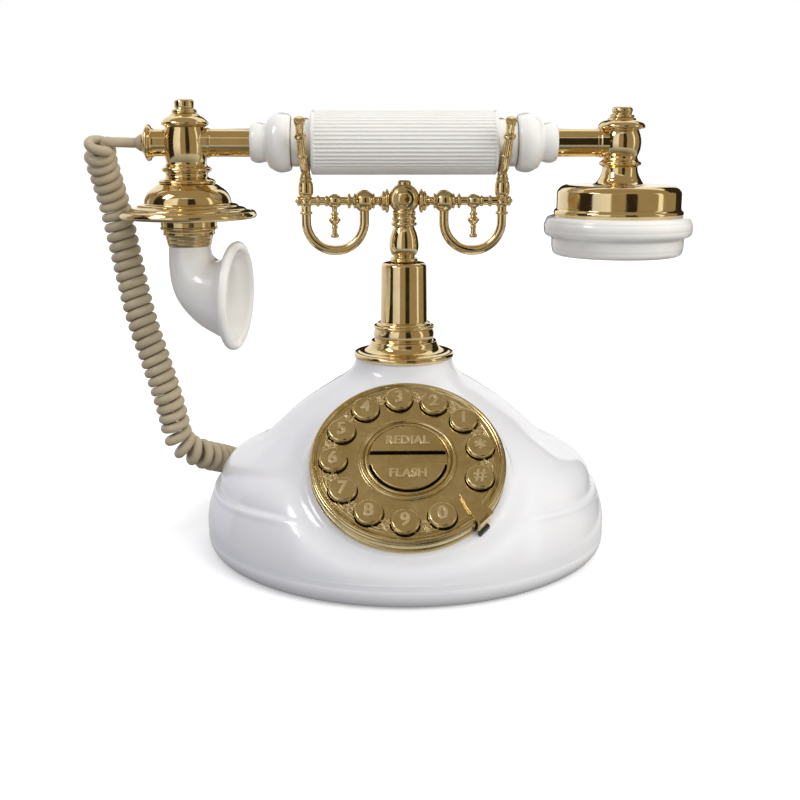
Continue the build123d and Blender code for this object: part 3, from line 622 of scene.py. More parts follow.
def housing_field(p):
    """Negative inside the outer skin: the skirt, its sloping front, the dial's boss and the neck."""
    x, y, z = p[:, 0] - widening(p[:, 0]), p[:, 1], p[:, 2]
    lean = -BASE_SHIFT * smoothstep(76 - z, 0, 46)
    front_angle = np.degrees(np.arctan2(np.abs(x), -(y + BASE_SHIFT)))
    sideness = smoothstep(front_angle, 63, 84)
    radius = (np.interp(z, heights, side_radii) * sideness
              + np.interp(z, heights, front_radii) * (1 - sideness))
    crease_z = 29.2 + 2.6 * (1 - smoothstep(front_angle, 32, 75))
    crease_fade = smoothstep(front_angle, 26, 44)
    above = z - crease_z
    lip = smoothstep(above, -0.2, 0.5) * np.exp(-np.clip(above, 0, None) / 5.5)
    swell = np.exp(-((above + 1.1) / 1.2) ** 2)
    radius = radius + crease_fade * (0.4 * swell - 1.9 * lip)
    body = np.hypot(x, y - lean) - radius
    h, rho = seen_from_dial(p)
    field = smooth_max(body, h + 8.6, 3.0)
    boss = smooth_max(smooth_max(rho - BOSS_RADIUS, h + 7.0, 2.0), -20.0 - h, 1.0)
    field = smooth_min(field, boss, 2.4)
    neck = smooth_max(np.hypot(x, y) - 21.5, z - 85.0, 0.6)
    return smooth_min(field, neck, 2.0)


def seated(p, rounds=4):
    """Move points along the field's slope onto the skin."""
    for _ in range(rounds):
        here = housing_field(p)
        slope = np.stack([housing_field(p + step) - housing_field(p - step)
                          for step in np.eye(3) * 0.05], axis=1) / 0.1
        size = np.maximum((slope ** 2).sum(1), 0.04)
        p = p - slope * np.clip(here / size, -1.5, 1.5)[:, None]
    return p


ROUND_STEPS, RISE_STEPS = 480, 210
LUMP_BOTTOM = 7.0
rise = np.linspace(0, 1, RISE_STEPS)
start_z = LUMP_BOTTOM + (84.6 - LUMP_BOTTOM) * rise
grid = []
for z in start_z:
    radius = np.interp(z, heights, side_radii)
    lean = -BASE_SHIFT * float(smoothstep(76 - z, 0, 46))
    angle = np.arange(ROUND_STEPS) * 2 * pi / ROUND_STEPS
    grid.append(np.stack([radius * np.cos(angle), lean + radius * np.sin(angle), np.full(ROUND_STEPS, z)], 1))
lump_points = np.concatenate(grid)
lump_faces = ring_faces(RISE_STEPS, ROUND_STEPS, False)
lump_faces += [tuple(range(ROUND_STEPS)), tuple(range(len(lump_points) - ROUND_STEPS, len(lump_points)))]
boss = turned_mesh(drum(BOSS_RADIUS, -20, -7), DIAL_ORIGIN, DIAL_NORMAL, 128, 0.5)
lump = mesh_piece("housing_lump", *joined([(lump_points, lump_faces), boss]), None, WHITE_BASE)
remesh = lump.modifiers.new("remesh", "REMESH")
remesh.mode, remesh.voxel_size = "VOXEL", (0.00075)
shown_mesh(lump)
skin = np.array([v.co for v in lump.data.vertices]) / MM
flat_bottom = skin[:, 2] < LUMP_BOTTOM + 0.9
skin = np.where(flat_bottom[:, None], skin, seated(skin))
lump.data.vertices.foreach_set("co", (skin * MM).astype(np.float32).ravel())
relax = lump.modifiers.new("relax", "SMOOTH")
relax.factor, relax.iterations = 0.4, 1
# the edge round the dial's seat is tighter than the skin's grid, so it is eased on its own
seat_depth, seat_radius = seen_from_dial(skin)
seat_edge = lump.vertex_groups.new(name="seat_edge")
seat_edge.add([int(i) for i in np.flatnonzero((seat_depth > -9.5) & (seat_radius > 41.5) & (seat_radius < 45.5))],
              1.0, "REPLACE")
ease = lump.modifiers.new("ease", "SMOOTH")
ease.factor, ease.iterations, ease.vertex_group = 0.5, 6, seat_edge.name
shown_mesh(lump)
SEAM_GAP = 0.03
sockets = [block((0, -BASE_SHIFT, PAN_TOP + SEAM_GAP - 10), ((1, 0, 0), (0, 1, 0), UP), (220, 220, 20))]
for angle, (wide, tall) in {HANDSET_JACK_ANGLE: (13, 11), LINE_JACK_ANGLE: (13, 11), SLIDER_ANGLE: (10, 3)}.items():
    out = Vector((cos(radians(angle)), sin(radians(angle)), 0))
    sockets.append(block(skirt_point(-8, angle=angle), (out, Vector((-out.y, out.x, 0)), UP), (24, wide, tall)))
cut(lump, *joined(sockets))
skin = np.array([v.co for v in lump.data.vertices]) / MM
polygons = [tuple(p.vertices) for p in lump.data.polygons]
middles = np.array([skin[list(p)].mean(0) for p in polygons])
bpy.data.objects.remove(lump)
depth, off_axis = seen_from_dial(middles)
from_centre = np.hypot(middles[:, 0], middles[:, 1] + BASE_SHIFT)
opened = (off_axis < 39.5) & (depth > -9.5)
opened |= (middles[:, 2] > 84.0) & (np.hypot(middles[:, 0], middles[:, 1]) < 13)
opened |= (middles[:, 2] < PAN_TOP + 0.6) & (from_centre < 89.3)
opened |= (from_centre < 86.0) & (middles[:, 2] < 26) & (middles[:, 1] > 40)
kept = [polygon for polygon, gone in zip(polygons, opened) if not gone]
used = sorted({i for face in kept for i in face})
renumber = {old: new for new, old in enumerate(used)}
housing = mesh_piece("housing_shell", skin[used], [tuple(renumber[i] for i in face) for face in kept],
                     None, WHITE_BASE)
thick = housing.modifiers.new("wall", "SOLIDIFY")
thick.thickness, thick.offset = 0.0022, -1.0
shown_mesh(housing)
dress(housing, "base", WHITE_BASE, "base_housing", sharp=50)

# ---- pan, feet and what is inside the base --------------------------------
def base_place(radius, angle, z=0):
    return radius * cos(angle), radius * sin(angle) - BASE_SHIFT, z


PAN = [
    (0, 2), (83, 2), (84, 1.9), (85.2, 0.9), (86.8, 0.8), (89.3, 3.6, 90.15, 8.6), (90.2, PAN_TOP - 0.05),
    (90.15, PAN_TOP), (87, PAN_TOP), (86.6, 5), (0, 5)]
pan = turned("pan_shell", [(PAN, (0, -BASE_SHIFT, 0), UP)],
             "base", WHITE_BASE, "base_pan", segments=256, soften=0.2)
HOLE_PITCH = 4.5
SCREW_ANGLES = [pi / 4, 3 * pi / 4, 5 * pi / 4, 7 * pi / 4]
holes = [turned_mesh(drum(1.2, 0, 8), (27 + HOLE_PITCH * column, 21 + HOLE_PITCH * row, 0), UP, 16, 0.01)
         for column in range(5) for row in range(5)]
holes += [turned_mesh(drum(3, 1, 4.5), base_place(76, angle), UP, 32, 0.01) for angle in SCREW_ANGLES]
cut(pan, *joined(holes))
for vertex in pan.data.vertices:
    x = vertex.co.x / MM
    vertex.co.x = (x + widening(x)) * MM
dress(pan, "base", WHITE_BASE, "base_pan", sharp=40)

FOOT = [(0, 0.0), (6.8, 0.0), (7.7, 0.5, 8.0, 1.2), (8.0, 2.0), (0, 2.0)]
SCREW = [(0, 2.7), (1.8, 2.6), (2.7, 3.2), (2.9, 4.4), (1.45, 4.5), (1.45, 20.5), (0, 20.5)]
turned("foot_pads", [(FOOT, base_place(62, angle), UP) for angle in (0, pi / 2, pi, 3 * pi / 2)],
       "base", RUBBER, "rubber_feet", segments=48)
screws = turned("pan_screw_heads", [(SCREW, base_place(76, angle), UP) for angle in SCREW_ANGLES],
                "base", STEEL, "pan_screws", segments=32)
for turn in (0, pi / 2):
    axes = ((cos(turn), sin(turn), 0), (-sin(turn), cos(turn), 0), UP)
    cut(screws, *joined([block(base_place(76, angle, 2.9), axes, (3.2, 0.7, 1.4)) for angle in SCREW_ANGLES]))
dress(screws, "base", STEEL, "pan_screws", sharp=30)
# CAD nodes whose shape is right only get their material
for node, material in (("ballast_plate", STEEL), ("main_board", BOARD), ("ringer_speaker", BLACK),
                       ("hook_switch", BLACK), ("handset_jack", BLACK), ("line_jack", BLACK),
                       ("ringer_slider", BLACK), ("key_board", BOARD), ("key_mat", RUBBER),
                       ("column_nut", STEEL), ("microphone", BLACK), ("earphone", BLACK)):
    painted(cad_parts[node], material)

# ---- dial -----------------------------------------------------------------
BEZEL = [
    (38, -7), (41, -7), (41, -5.4), (40.6, -4.9), (40.1, -4.7), (40.1, -3.9), (40.6, -3.6), (41, -3.2),
    (41, -1.5), (40.75, -0.6, 40.2, -0.3), (40.35, 0.3, 39.9, 0.9), (39.4, 1), (38.9, 0.75), (38.5, 0.2),
    (38, 0)]
turned("bezel_ring", [(BEZEL, DIAL_ORIGIN, DIAL_NORMAL)], "base", ANTIQUE, "dial_bezel", segments=192, soften=0.18)

KEY_NAMES = ["star", "1", "2", "3", "4", "5", "6", "7", "8", "9", "0", "hash"]
KEY_ANGLES = {name: 10.5 + 28.5 * step for step, name in enumerate(KEY_NAMES[:-1])}
KEY_ANGLES["hash"] = -18.5
KEY_MARKS = {"star": "*", "hash": "#"}
WELL_GAP, WELL_DROP = 0.45, 0.2
KEY_TOP, MOON_TOP = 2.72, 2.1


def ring_place(angle, radius=KEY_RING):
    return radius * cos(radians(angle)), radius * sin(radians(angle))


DIAL_FACE = [
    (0, -1.6), (37.9, -1.6), (37.9, 0), (36.9, 0.05), (36.5, 0.35, 36, 0.05), (20.8, 0), (20.3, 0.15),
    (19.9, 1.3, 19, 1.2), (18.6, 0.8), (18.5, 0.3), (18.3, 0.3), (18, 0.7), (17.3, 1.25, 16.7, 0.8),
    (16.4, 0.35), (0, 0.35)]
plate = turned("dial_face", [(DIAL_FACE, DIAL_ORIGIN, DIAL_NORMAL)],
               "base", ANTIQUE, "dial_plate", segments=192, soften=0.12)
cut(plate, *joined([turned_mesh(drum(KEY_RADIUS + WELL_GAP, -4, 4),
                                on_dial(ring_place(angle)[0], ring_place(angle)[1] - WELL_DROP, 0),
                                DIAL_NORMAL, 64, 0.01) for angle in KEY_ANGLES.values()]))


def half_moon(radius, inset, side, low, high):
    """A half disc above or below the bridge, as a closed shape."""
    reach = acos((BRIDGE_HALF - inset) / radius)
    rim = [(radius * sin(t), side * radius * cos(t)) for t in np.linspace(-reach, reach, 72)]
    return prism(rim, low, high, on_dial)


cut(plate, *joined([half_moon(MOON_RADIUS + 0.6, 0.4, -1, -4, 4), half_moon(MOON_RADIUS + 0.35, 1.0, 1, -4, 4)]))
dress(plate, "base", ANTIQUE, "dial_plate", sharp=35)


def lettering(text, size, centre, height, depth, bold=0.0):
    """Raised type lying on the dial, as points and faces in millimetres."""
    curve = bpy.data.curves.new("type", "FONT")
    curve.body, curve.size, curve.extrude, curve.offset = text, size, depth, bold
    curve.align_x = curve.align_y = "CENTER"
    curve.bevel_depth, curve.bevel_resolution = 0.13, 2
    holder = bpy.data.objects.new("type", curve)
    mesh = bpy.data.meshes.new_from_object(holder)
    points = [on_dial(centre[0] + v.co.x, centre[1] + v.co.y, height + v.co.z) for v in mesh.vertices]
    faces = [tuple(p.vertices) for p in mesh.polygons]
    bpy.data.objects.remove(holder)
    bpy.data.meshes.remove(mesh)
    return points, faces


for name, angle in KEY_ANGLES.items():
    spot = ring_place(angle)
    cap = turned_mesh([(0, -4.4), (KEY_RADIUS, -4.4), (KEY_RADIUS, 1.3),
                       (KEY_RADIUS - 0.35, 2.2, KEY_RADIUS - 1.3, 2.5), (2.6, 2.68, 0, KEY_TOP)],
                      on_dial(*spot, 0), DIAL_NORMAL, 64, 0.2)
    digit = lettering(KEY_MARKS.get(name, name), 10.4 if name == "star" else 8.2,
                      (spot[0], spot[1] - (1.9 if name == "star" else 0)), KEY_TOP, 0.26, 0.1)
    key = mesh_piece(f"dial_key_{name}", *joined([cap, digit]), f"key_body_{name}", ANTIQUE, f"key_{name}", sharp=40)
    # the digits take the paler gold, a painted highlight
    key.data.materials.append(HIGHLIT_RELIEF)
    for polygon in key.data.polygons[len(cap[1]):]:
        polygon.material_index = 1

for name, side in (("redial", 1), ("flash", -1)):
    moon = mesh_piece(f"moon_key_{name}", *half_moon(MOON_RADIUS, 0, side, -4.4, MOON_TOP), f"key_body_{name}",
                      ANTIQUE, f"key_{name}", sharp=30)
    bevelled(moon, 0.55, 4)
    mesh_piece(f"moon_key_{name}_word", *lettering(name.upper(), 5.6, (0, side * 8.3), MOON_TOP + 0.06, 0.24, 0.08),
               f"key_body_{name}", HIGHLIT_RELIEF, sharp=40)


def scroll(angle, hand, radius, size, reach):
    """One C scroll of the rim's ornament: a curl that opens into a tail running along the rim."""
    points, radii = [], []
    for t in np.linspace(0, 1, 22):
        turn = 2 * pi * 1.15 * (1 - t)
        spread = size * (0.28 + 0.72 * t)
        points.append((-hand * spread * sin(turn), radius + spread * cos(turn)))
        radii.append(0.16 + 0.2 * t)
    for t in np.linspace(0.08, 1, 14):
        points.append((hand * reach * t, radius + size * (1 + 0.1 * t)))
        radii.append(0.36 - 0.28 * t)
    places = [on_dial(*ring_place(angle + degrees(along_rim / radius), out), 0.16) for along_rim, out in points]
    return tube_mesh(places, radii, 8)


ornaments = []
mid_angles = [10.5 + 28.5 * (step + 0.5) for step in range(10)]
mid_angles.append(-4.0)
for angle in mid_angles:
    for hand in (-1, 1):
        ornaments.append(scroll(angle + hand * 2.6, hand, 34.2, 1.3, 3.3))
        ornaments.append(scroll(angle + hand * 1.5, hand, 30.9, 0.62, 1.5))
    stem = [on_dial(*ring_place(angle, r), 0.05) for r in np.linspace(31.8, 36.0, 10)]
    ornaments.append(tube_mesh(stem, [0.1, 0.24, 0.36, 0.42, 0.4, 0.34, 0.28, 0.22, 0.16, 0.1], 8))
    for hand in (-1, 1):
        leaf = [on_dial(*ring_place(angle + hand * (0.5 + 4.2 * t), 32.9 - 1.9 * t * t), 0.06)
                for t in np.linspace(0, 1, 9)]
        ornaments.append(tube_mesh(leaf, [0.14, 0.26, 0.32, 0.34, 0.32, 0.27, 0.2, 0.14, 0.08], 8))
mesh_piece("dial_scrollwork", *joined(ornaments), "base", HIGHLIT_RELIEF)

STOP_ANGLE = -43.5


def on_stop(outwards, sideways, height):
    x, y = ring_place(STOP_ANGLE, outwards)
    a, b = ring_place(STOP_ANGLE + 90, sideways)
    return on_dial(x + a, y + b, height)


RIDGE_FROM, RIDGE_TO = 27, 40
ridge = tube_mesh([on_stop(r, 1.2 * sin((r - RIDGE_FROM) / (RIDGE_TO - RIDGE_FROM) * pi) + 1.2
                           - 0.36 * (r - RIDGE_FROM), 0.5) for r in np.linspace(RIDGE_FROM, RIDGE_TO, 24)],
                  [0.2 + 0.5 * sin(pi * t) ** 0.6 for t in np.linspace(0.04, 0.96, 24)], 10)
leaf_corners = [(28, 0.8), (33, -1.4), (39.5, -3.8), (42.9, -4.2), (43.1, 3.6), (41, 4.4), (35, 2.7), (30, 1.3)]
stop = mesh_piece("finger_stop_plate", *joined([
    ridge, prism(leaf_corners, 0.2, 1.5, on_stop),
    prism([(41.6, -4.1), (43.1, -4.1), (43.1, 1.6), (41.6, 1.6)], -6.4, 1.5, on_stop)]),
    "base", ANTIQUE, "finger_stop", sharp=30)
bevelled(stop, 0.25)
# painted shade: a black block under the tab's end stands in for the dark seen there
mesh_piece("finger_stop_shade_block", *prism([(42.4, -4.4), (43.9, -4.4), (43.9, 1.2), (42.4, 1.2)], -6.8, -4.4, on_stop),
           "base", BLACK, sharp=30)

# ---- column ---------------------------------------------------------------
COLUMN_FOOT = [
    (4.3, 70), (9, 70), (9, 85), (22.5, 85), (23.1, 86, 22.9, 87.2), (22.4, 87.6), (21.6, 87.7), (20.4, 88.2),
    (17, 89.3, 15.4, 92), (15, 92.8), (13.6, 93), (13.3, 93.5), (13.6, 94), (13.9, 95.8, 13.5, 98),
    (13.3, 98.4), (13.5, 98.7), (14, 99.3, 13.4, 99.9), (12.6, 100.1), (12.2, 100.9, 11.3, 101.3), (10.9, 101.6),
    (7.5, 101.6), (7.5, 88), (4.3, 88)]
turned("column_foot", [(COLUMN_FOOT, CENTRE, UP)], "base", GOLD, "column_flange", segments=128)
COLUMN_BARREL = [
    (7.5, 101.6), (10.7, 101.6), (10.35, 126.4), (9.9, 127.9, 8.5, 128.6), (4.3, 128.6), (4.3, 125.6), (7.5, 125.6)]
turned("column_barrel", [(COLUMN_BARREL, CENTRE, UP)], "base", GOLD, "column_sleeve", segments=128)
SPRING_RADIUS, SPRING_FOOT, SPRING_LENGTH, SPRING_SWEEP = 5.8, 88.6, 27.2, 2 * pi * 12
spring_path = [(SPRING_RADIUS * cos(t), SPRING_RADIUS * sin(t), SPRING_FOOT + SPRING_LENGTH * t / SPRING_SWEEP)
               for t in np.linspace(0, SPRING_SWEEP, 360)]
mesh_piece("return_spring", *tube_mesh(spring_path, 0.55, 8), "base", STEEL, "hook_spring")

# ---- cradle ---------------------------------------------------------------
BALUSTER = [
    (0, 44), (4, 44), (4, 116.6), (7.2, 116.6), (7.2, 120.6), (4, 120.6), (4, 128.9), (5.6, 128.9),
    (6.3, 129.8, 5.6, 130.7), (4.9, 131.1), (4.9, 131.6), (5.6, 132.2), (6.5, 134.2, 6.7, 136.6),
    (6.2, 140.4, 4.8, 144.2), (4.6, 144.9), (5.2, 145.1), (5.9, 145.9, 5.4, 146.8), (5, 147), (5, 147.5),
    (5.5, 148.1, 5.2, 149.2), (4.9, 149.6), (5.4, 150.2), (0, 150.2)]
turned("cradle_baluster", [(BALUSTER, CENTRE, UP)], "cradle", GOLD, "cradle_stem")
hub_front = [
    (0, -5.2), (2.2, -5.1), (2.9, -4.8), (3.2, -4.45), (4.3, -4.4), (4.8, -4), (5.6, -3.75), (6.6, -2.4, 6.75, 0),
    (6.6, 2.4, 5.6, 3.75), (4.8, 4), (4.3, 4.4), (0, 4.8)]
HUB_SEAT = [
    (0, 150.2), (4.8, 150.2), (5.3, 151.1, 4.4, 152.2), (4, 154), (0, 154)]
HUB_CAP = [
    (0, 161.4), (3.6, 161.4), (3.9, 162.4, 3.4, 163.2), (3.1, 163.5), (3.1, 164.3), (2.7, 165.1, 1.8, 165.3),
    (0, 165.3)]
turned("cradle_boss", [(hub_front, (0, 0, 157.2), (0, 1, 0)), (HUB_SEAT, CENTRE, UP), (HUB_CAP, CENTRE, UP)],
       "cradle", GOLD, "cradle_hub")
bar = [
    (0, 5.8), (1.9, 5.8), (1.9, 6.6), (4.4, 6.8), (5.1, 7.2), (5.3, 7.8, 4.9, 8.4), (4, 8.6),
    (4.4, 9.3, 3.8, 10), (2.9, 10.3), (2.3, 11), (1.9, 11.6), (1.9, 13), (3.3, 13.3), (3.5, 13.8, 3, 14.2),
    (5, 18, 3, 21.8), (3.5, 22.2, 3.2, 22.7), (1.9, 23), (1.9, 23.9), (2.9, 24.1), (3.4, 24.8, 2.9, 25.4),
    (1.9, 25.7), (1.9, 28.6), (3.2, 31.4, 1.9, 34.2), (2.5, 35, 1.9, 35.7), (1.9, 38), (2.6, 38.8, 1.9, 39.6),
    (1.9, 42.1), (0, 42.1)]
turned("cradle_crossbar", [(bar, (0, 0, BAR_Z), (side, 0, 0)) for side in (-1, 1)],
       "cradle", GOLD, "crossbar", segments=64)

loops = []
for side in (-1, 1):
    path = [(18.0, 154.6), (18.0, 147.1)]
    path += [(31.1 - 13.1 * cos(t), 147.1 - 13.1 * sin(t)) for t in np.linspace(0, pi, 48)[1:]]
    path += [(44.2, 149.0), (44.2, 154.9)]
    loops.append(tube_mesh([(side * x, 0, z) for x, z in path], 2.15, 24))
    loops.append(turned_mesh([(0, 150.2), (2.3, 150.2), (2.9, 150.9, 2.3, 151.6), (0, 151.6)],
                             (side * 44.2, 0, 0), UP, 48, 0.15))
mesh_piece("cradle_loops", *joined(loops), "cradle", GOLD, "hooks", sharp=50)

drop = [
    (0, -16.4), (1.3, -16.4), (1.9, -15.8, 1.7, -15), (1.2, -14.5), (1.15, -12.2), (1.5, -11.6, 1.1, -11),
    (1.3, -10.4), (2.6, -8.9), (2.75, -8.2, 2.2, -7.7), (1.4, -6.9), (1.2, -6.3), (1.9, -5.8, 1.3, -5.2),
    (1.1, -4.6), (1.3, -3.4), (1.3, -2.7), (0, -2.7)]
turned("cradle_pendants", [(drop, (side * 31.4, 0, BAR_Z), UP) for side in (-1, 1)],
       "cradle", GOLD, "hanging_drops", segments=48, soften=0.12)

# each fork's saddle is an arc under the grip, and its straight arms lean out a little
CROTCH = 12.5
SPREAD = radians(53)
foot_y, foot_z = CROTCH * sin(SPREAD), HANDSET_Z - CROTCH * cos(SPREAD)
ARM = 13.0
LEAN_OUT = 0.06
top_y, top_z = foot_y + ARM * cos(SPREAD), foot_z + ARM * sin(SPREAD)
knob = [
    (0, -1), (2.2, -1), (2.75, 0, 2.2, 1), (1.9, 1.6), (1.85, 3), (2.05, 5.4), (2.5, 7.6, 2.55, 8.3), (2.3, 8.9),
    (0, 9.1)]
fork_post = [
    (0, 153.4), (2.3, 153.8), (2.9, 155, 2.8, 156.4), (2.2, 157.2), (2.3, 158), (3.1, 159, 3.4, 160.6),
    (3.4, 162, 3.2, 164.2), (2.6, 165.2), (2.9, 165.8, 2.5, 166.6), (2.2, 168.6), (0, 168.9)]
arm_ring = [(0, -0.7), (2.2, -0.7), (2.55, 0, 2.2, 0.7), (0, 0.7)]
bar_button = [(0, 1), (1.7, 1), (1.7, 2.5), (2.2, 3.2, 1.2, 4.1), (0.5, 4.8), (0, 4.8)]


def leaning(side, z):
    return side * FORK_X + side * LEAN_OUT * (z - HANDSET_Z + CROTCH)


for side, hand in ((-1, "left"), (1, "right")):
    x = side * FORK_X
    path = [(-top_y, top_z), (-foot_y, foot_z)]
    path += [(CROTCH * sin(t), HANDSET_Z - CROTCH * cos(t)) for t in np.linspace(-SPREAD, SPREAD, 40)[1:-1]]
    path += [(foot_y, foot_z), (top_y, top_z)]
    parts = [tube_mesh([(leaning(side, z), y, z) for y, z in path], 2.05, 24),
             turned_mesh(fork_post, (x, 0, 0), UP, 48, 0.12)]
    for way in (-1, 1):
        lean = Vector((0, way * cos(SPREAD), sin(SPREAD)))
        parts.append(turned_mesh(knob, (leaning(side, top_z), way * top_y, top_z), lean, 40, 0.12))
        ring = Vector((leaning(side, foot_z + 2), way * foot_y, foot_z)) + lean * 3
        parts.append(turned_mesh(arm_ring, ring, lean, 40, 0.1))
    parts.append(turned_mesh(bar_button, (x, 0, BAR_Z), (side, 0, 0), 40, 0.12))
    mesh_piece(f"cradle_fork_{hand}", *joined(parts), "cradle", GOLD, f"fork_{hand}", sharp=50)

# ---- handset --------------------------------------------------------------
turned("handset_rod", [([(5.1, -86), (6.1, -86), (6.1, 86), (5.1, 86)], HANDSET_AXIS, (1, 0, 0))],
       "handset", GOLD, "handset_tube", segments=96)

FLUTES, AROUND = 48, 10
flute_pitch = 2 * pi * 14 / FLUTES
half_grip = [(6.1, 50.0), (9.9, 50.0), (10.2, 49.9), (10.4, 49.6), (10.4, 48.0), (10.4, 42.6), (10.45, 42.1),
             (10.7, 41.7), (11.2, 41.55), (12.9, 41.5), (13.4, 41.4), (13.8, 41.15), (14.0, 40.75), (14.0, 40.2)]
flute_rows = [40.0, 39.9, 39.75, 39.6, 39.4, 39.2, 39.0, 38.0, 30.0, 15.0, 0.0]
grip_rows = [(r, -x) for r, x in half_grip] + [(14.0, -x) for x in flute_rows] + [
    (14.0, x) for x in flute_rows[-2::-1]] + [(r, x) for r, x in half_grip[::-1]]
points = []
for r, x in grip_rows:
    for j in range(FLUTES * AROUND):
        across = ((j % AROUND) / AROUND - 0.5) * flute_pitch
        reach = 0.66 ** 2 - max(0.0, abs(x) - 39.3) ** 2 if abs(x) < 39.95 else 0.0
        sink = 0.62 * sqrt(max(0.0, reach - across ** 2)) if abs(x) <= 39.95 else 0.0
        angle = 2 * pi * j / (FLUTES * AROUND)
        points.append((x, (r - sink) * cos(angle), HANDSET_Z + (r - sink) * sin(angle)))
faces = ring_faces(len(grip_rows), FLUTES * AROUND, True)
mesh_piece("fluted_grip", points, faces, "handset", WHITE_HANDSET, "grip", sharp=60)

bead = [
    (6.1, 50.2), (10.4, 50.2), (11.6, 50.3), (12.3, 50.9, 12.6, 51.8), (12.8, 52.6), (13, 55.4, 11.9, 58.4),
    (11.2, 59.6), (10.3, 60.4), (9.2, 60.8), (8.6, 61.2), (8.3, 61.9), (8.4, 62.6), (8.8, 64.8, 8.3, 67.2),
    (7.7, 68.2), (6.1, 68.4)]
turned("bead_ends", [(bead, HANDSET_AXIS, (side, 0, 0)) for side in (-1, 1)],
       "handset", WHITE_HANDSET, "grip_beads", segments=96, soften=0.4)

def rod_socket(shoulder, lip):
    """The short socket on a hub that holds the handset's rod."""
    return [(0, 0), (6.5, 0), (6.5, shoulder), (6.2, lip), (6.2, 11.2), (0, 11.2)]


TRANSMITTER_POST = [
    (0, 163.9), (12, 163.9), (12.7, 164.5, 12.4, 165.4), (11.8, 165.9), (10.3, 166.4), (9.3, 167.4, 9.4, 168.6),
    (10.2, 169.2), (11.1, 170, 10.6, 171), (9.6, 171.6), (8.9, 172.6), (8.8, 173.4), (9.9, 180.4, 9, 187.6),
    (8.7, 188.6), (9.6, 189.3), (10.4, 190.1, 9.9, 191.1), (8.6, 192.4, 6.8, 193.4), (6, 194.3), (0, 194.3)]
turned("transmitter_post", [(TRANSMITTER_POST, LEFT_END, UP),
                            (rod_socket(10.2, 10.6), (-HUB_X, 0, HANDSET_Z), (1, 0, 0))],
       "handset", GOLD, "transmitter_hub")
LEFT_FINIAL = [
    (0, 194.3), (4.9, 194.3), (5.6, 195.1, 5.1, 196.2), (4.3, 196.5), (4.1, 196.9), (4.3, 197.4), (4.4, 199),
    (4.2, 199.9, 3.2, 200.5), (0, 200.5)]
RIGHT_FINIAL = [
    (0, 192.6), (4.8, 192.6), (5.4, 193.3, 4.9, 194), (4.2, 194.3), (4.2, 194.7), (4.4, 195.2),
    (4.3, 196.8, 3.2, 197.4), (0, 197.4)]
turned("hub_caps", [(LEFT_FINIAL, LEFT_END, UP), (RIGHT_FINIAL, RIGHT_END, UP)],
       "handset", GOLD, "hub_finials", segments=64, soften=0.12)
SAUCER = [
    (0, 147.3), (12.4, 147.3), (12.4, 148.4), (13.4, 148.8), (20, 148, 27.4, 148.8), (28.6, 148.9),
    (30.5, 149.7, 30.3, 151), (29.8, 151.8), (29, 152.1), (27.9, 151.9), (26.6, 152.1), (25.9, 152.6),
    (25.3, 153.3, 24.4, 153.5), (23.5, 153.6), (22.6, 154.1), (21.9, 154.8, 20.9, 155), (20, 155.1),
    (19.4, 155.5), (18.6, 158.8, 15.6, 162), (13.4, 163.6), (12.3, 163.9), (0, 163.9)]
turned("spun_saucer", [(SAUCER, LEFT_END, UP)], "handset", GOLD, "transmitter_saucer", segments=128)
collar_outline = [
    (8, 136.2), (9.5, 136.2), (9.8, 137.2), (10.05, 137.4), (9.85, 137.6), (10.2, 139), (10.45, 139.2),
    (10.25, 139.4), (10.7, 141), (11.3, 141.3), (11.8, 141.8, 11.4, 142.3), (11.6, 143.3), (12.3, 143.7),
    (12.9, 144.4, 12.4, 145.1), (12.6, 147.3), (8, 147.3)]
turned("ribbed_collar", [(collar_outline, LEFT_END, UP)], "handset", GOLD, "horn_collar")

HORN_RINGS = [(-97.2, 136.2, 9.3, 0), (-96.6, 129.4, 10.3, 12), (-93.6, 121.6, 13.2, 40),
              (-87.6, 116.5, 16.3, 66), (-82.2, 114.4, 18.4, 80), (-78.5, 113.9, 20.6, 88)]
HORN_YAW = radians(-9.5)
HORN_WALL = 1.9
LIP_RADIUS = 2.3
LIP_RING = 22.4
horn_rows = flowing(HORN_RINGS, 60)
rim_row = horn_rows[-1]
sections = [(row, row[2], 0.0) for row in horn_rows]
sections += [(rim_row, LIP_RING + LIP_RADIUS * cos(t), 2.2 + LIP_RADIUS * sin(t))
             for t in np.linspace(-0.62 * pi, 0.97 * pi, 26)]
sections += [(row, row[2] - HORN_WALL, 0.0) for row in horn_rows[-2::-1]]
HORN_SIDES = 96
points = []
for (x, z, _, turn), radius, forward in sections:
    facing = Vector((sin(radians(turn)), 0, -cos(radians(turn))))
    upward = Vector((cos(radians(turn)), 0, sin(radians(turn))))
    for j in range(HORN_SIDES):
        angle = 2 * pi * j / HORN_SIDES
        spot = (Vector((x + HUB_X, 0, z)) + facing * forward
                + (Vector((0, 1, 0)) * cos(angle) + upward * sin(angle)) * radius)
        spot.rotate(Quaternion(UP, HORN_YAW))
        points.append(spot - Vector((HUB_X, 0, 0)))
mesh_piece("speaking_horn", points, ring_faces(len(sections), HORN_SIDES, True), "handset", WHITE_HANDSET, "horn")

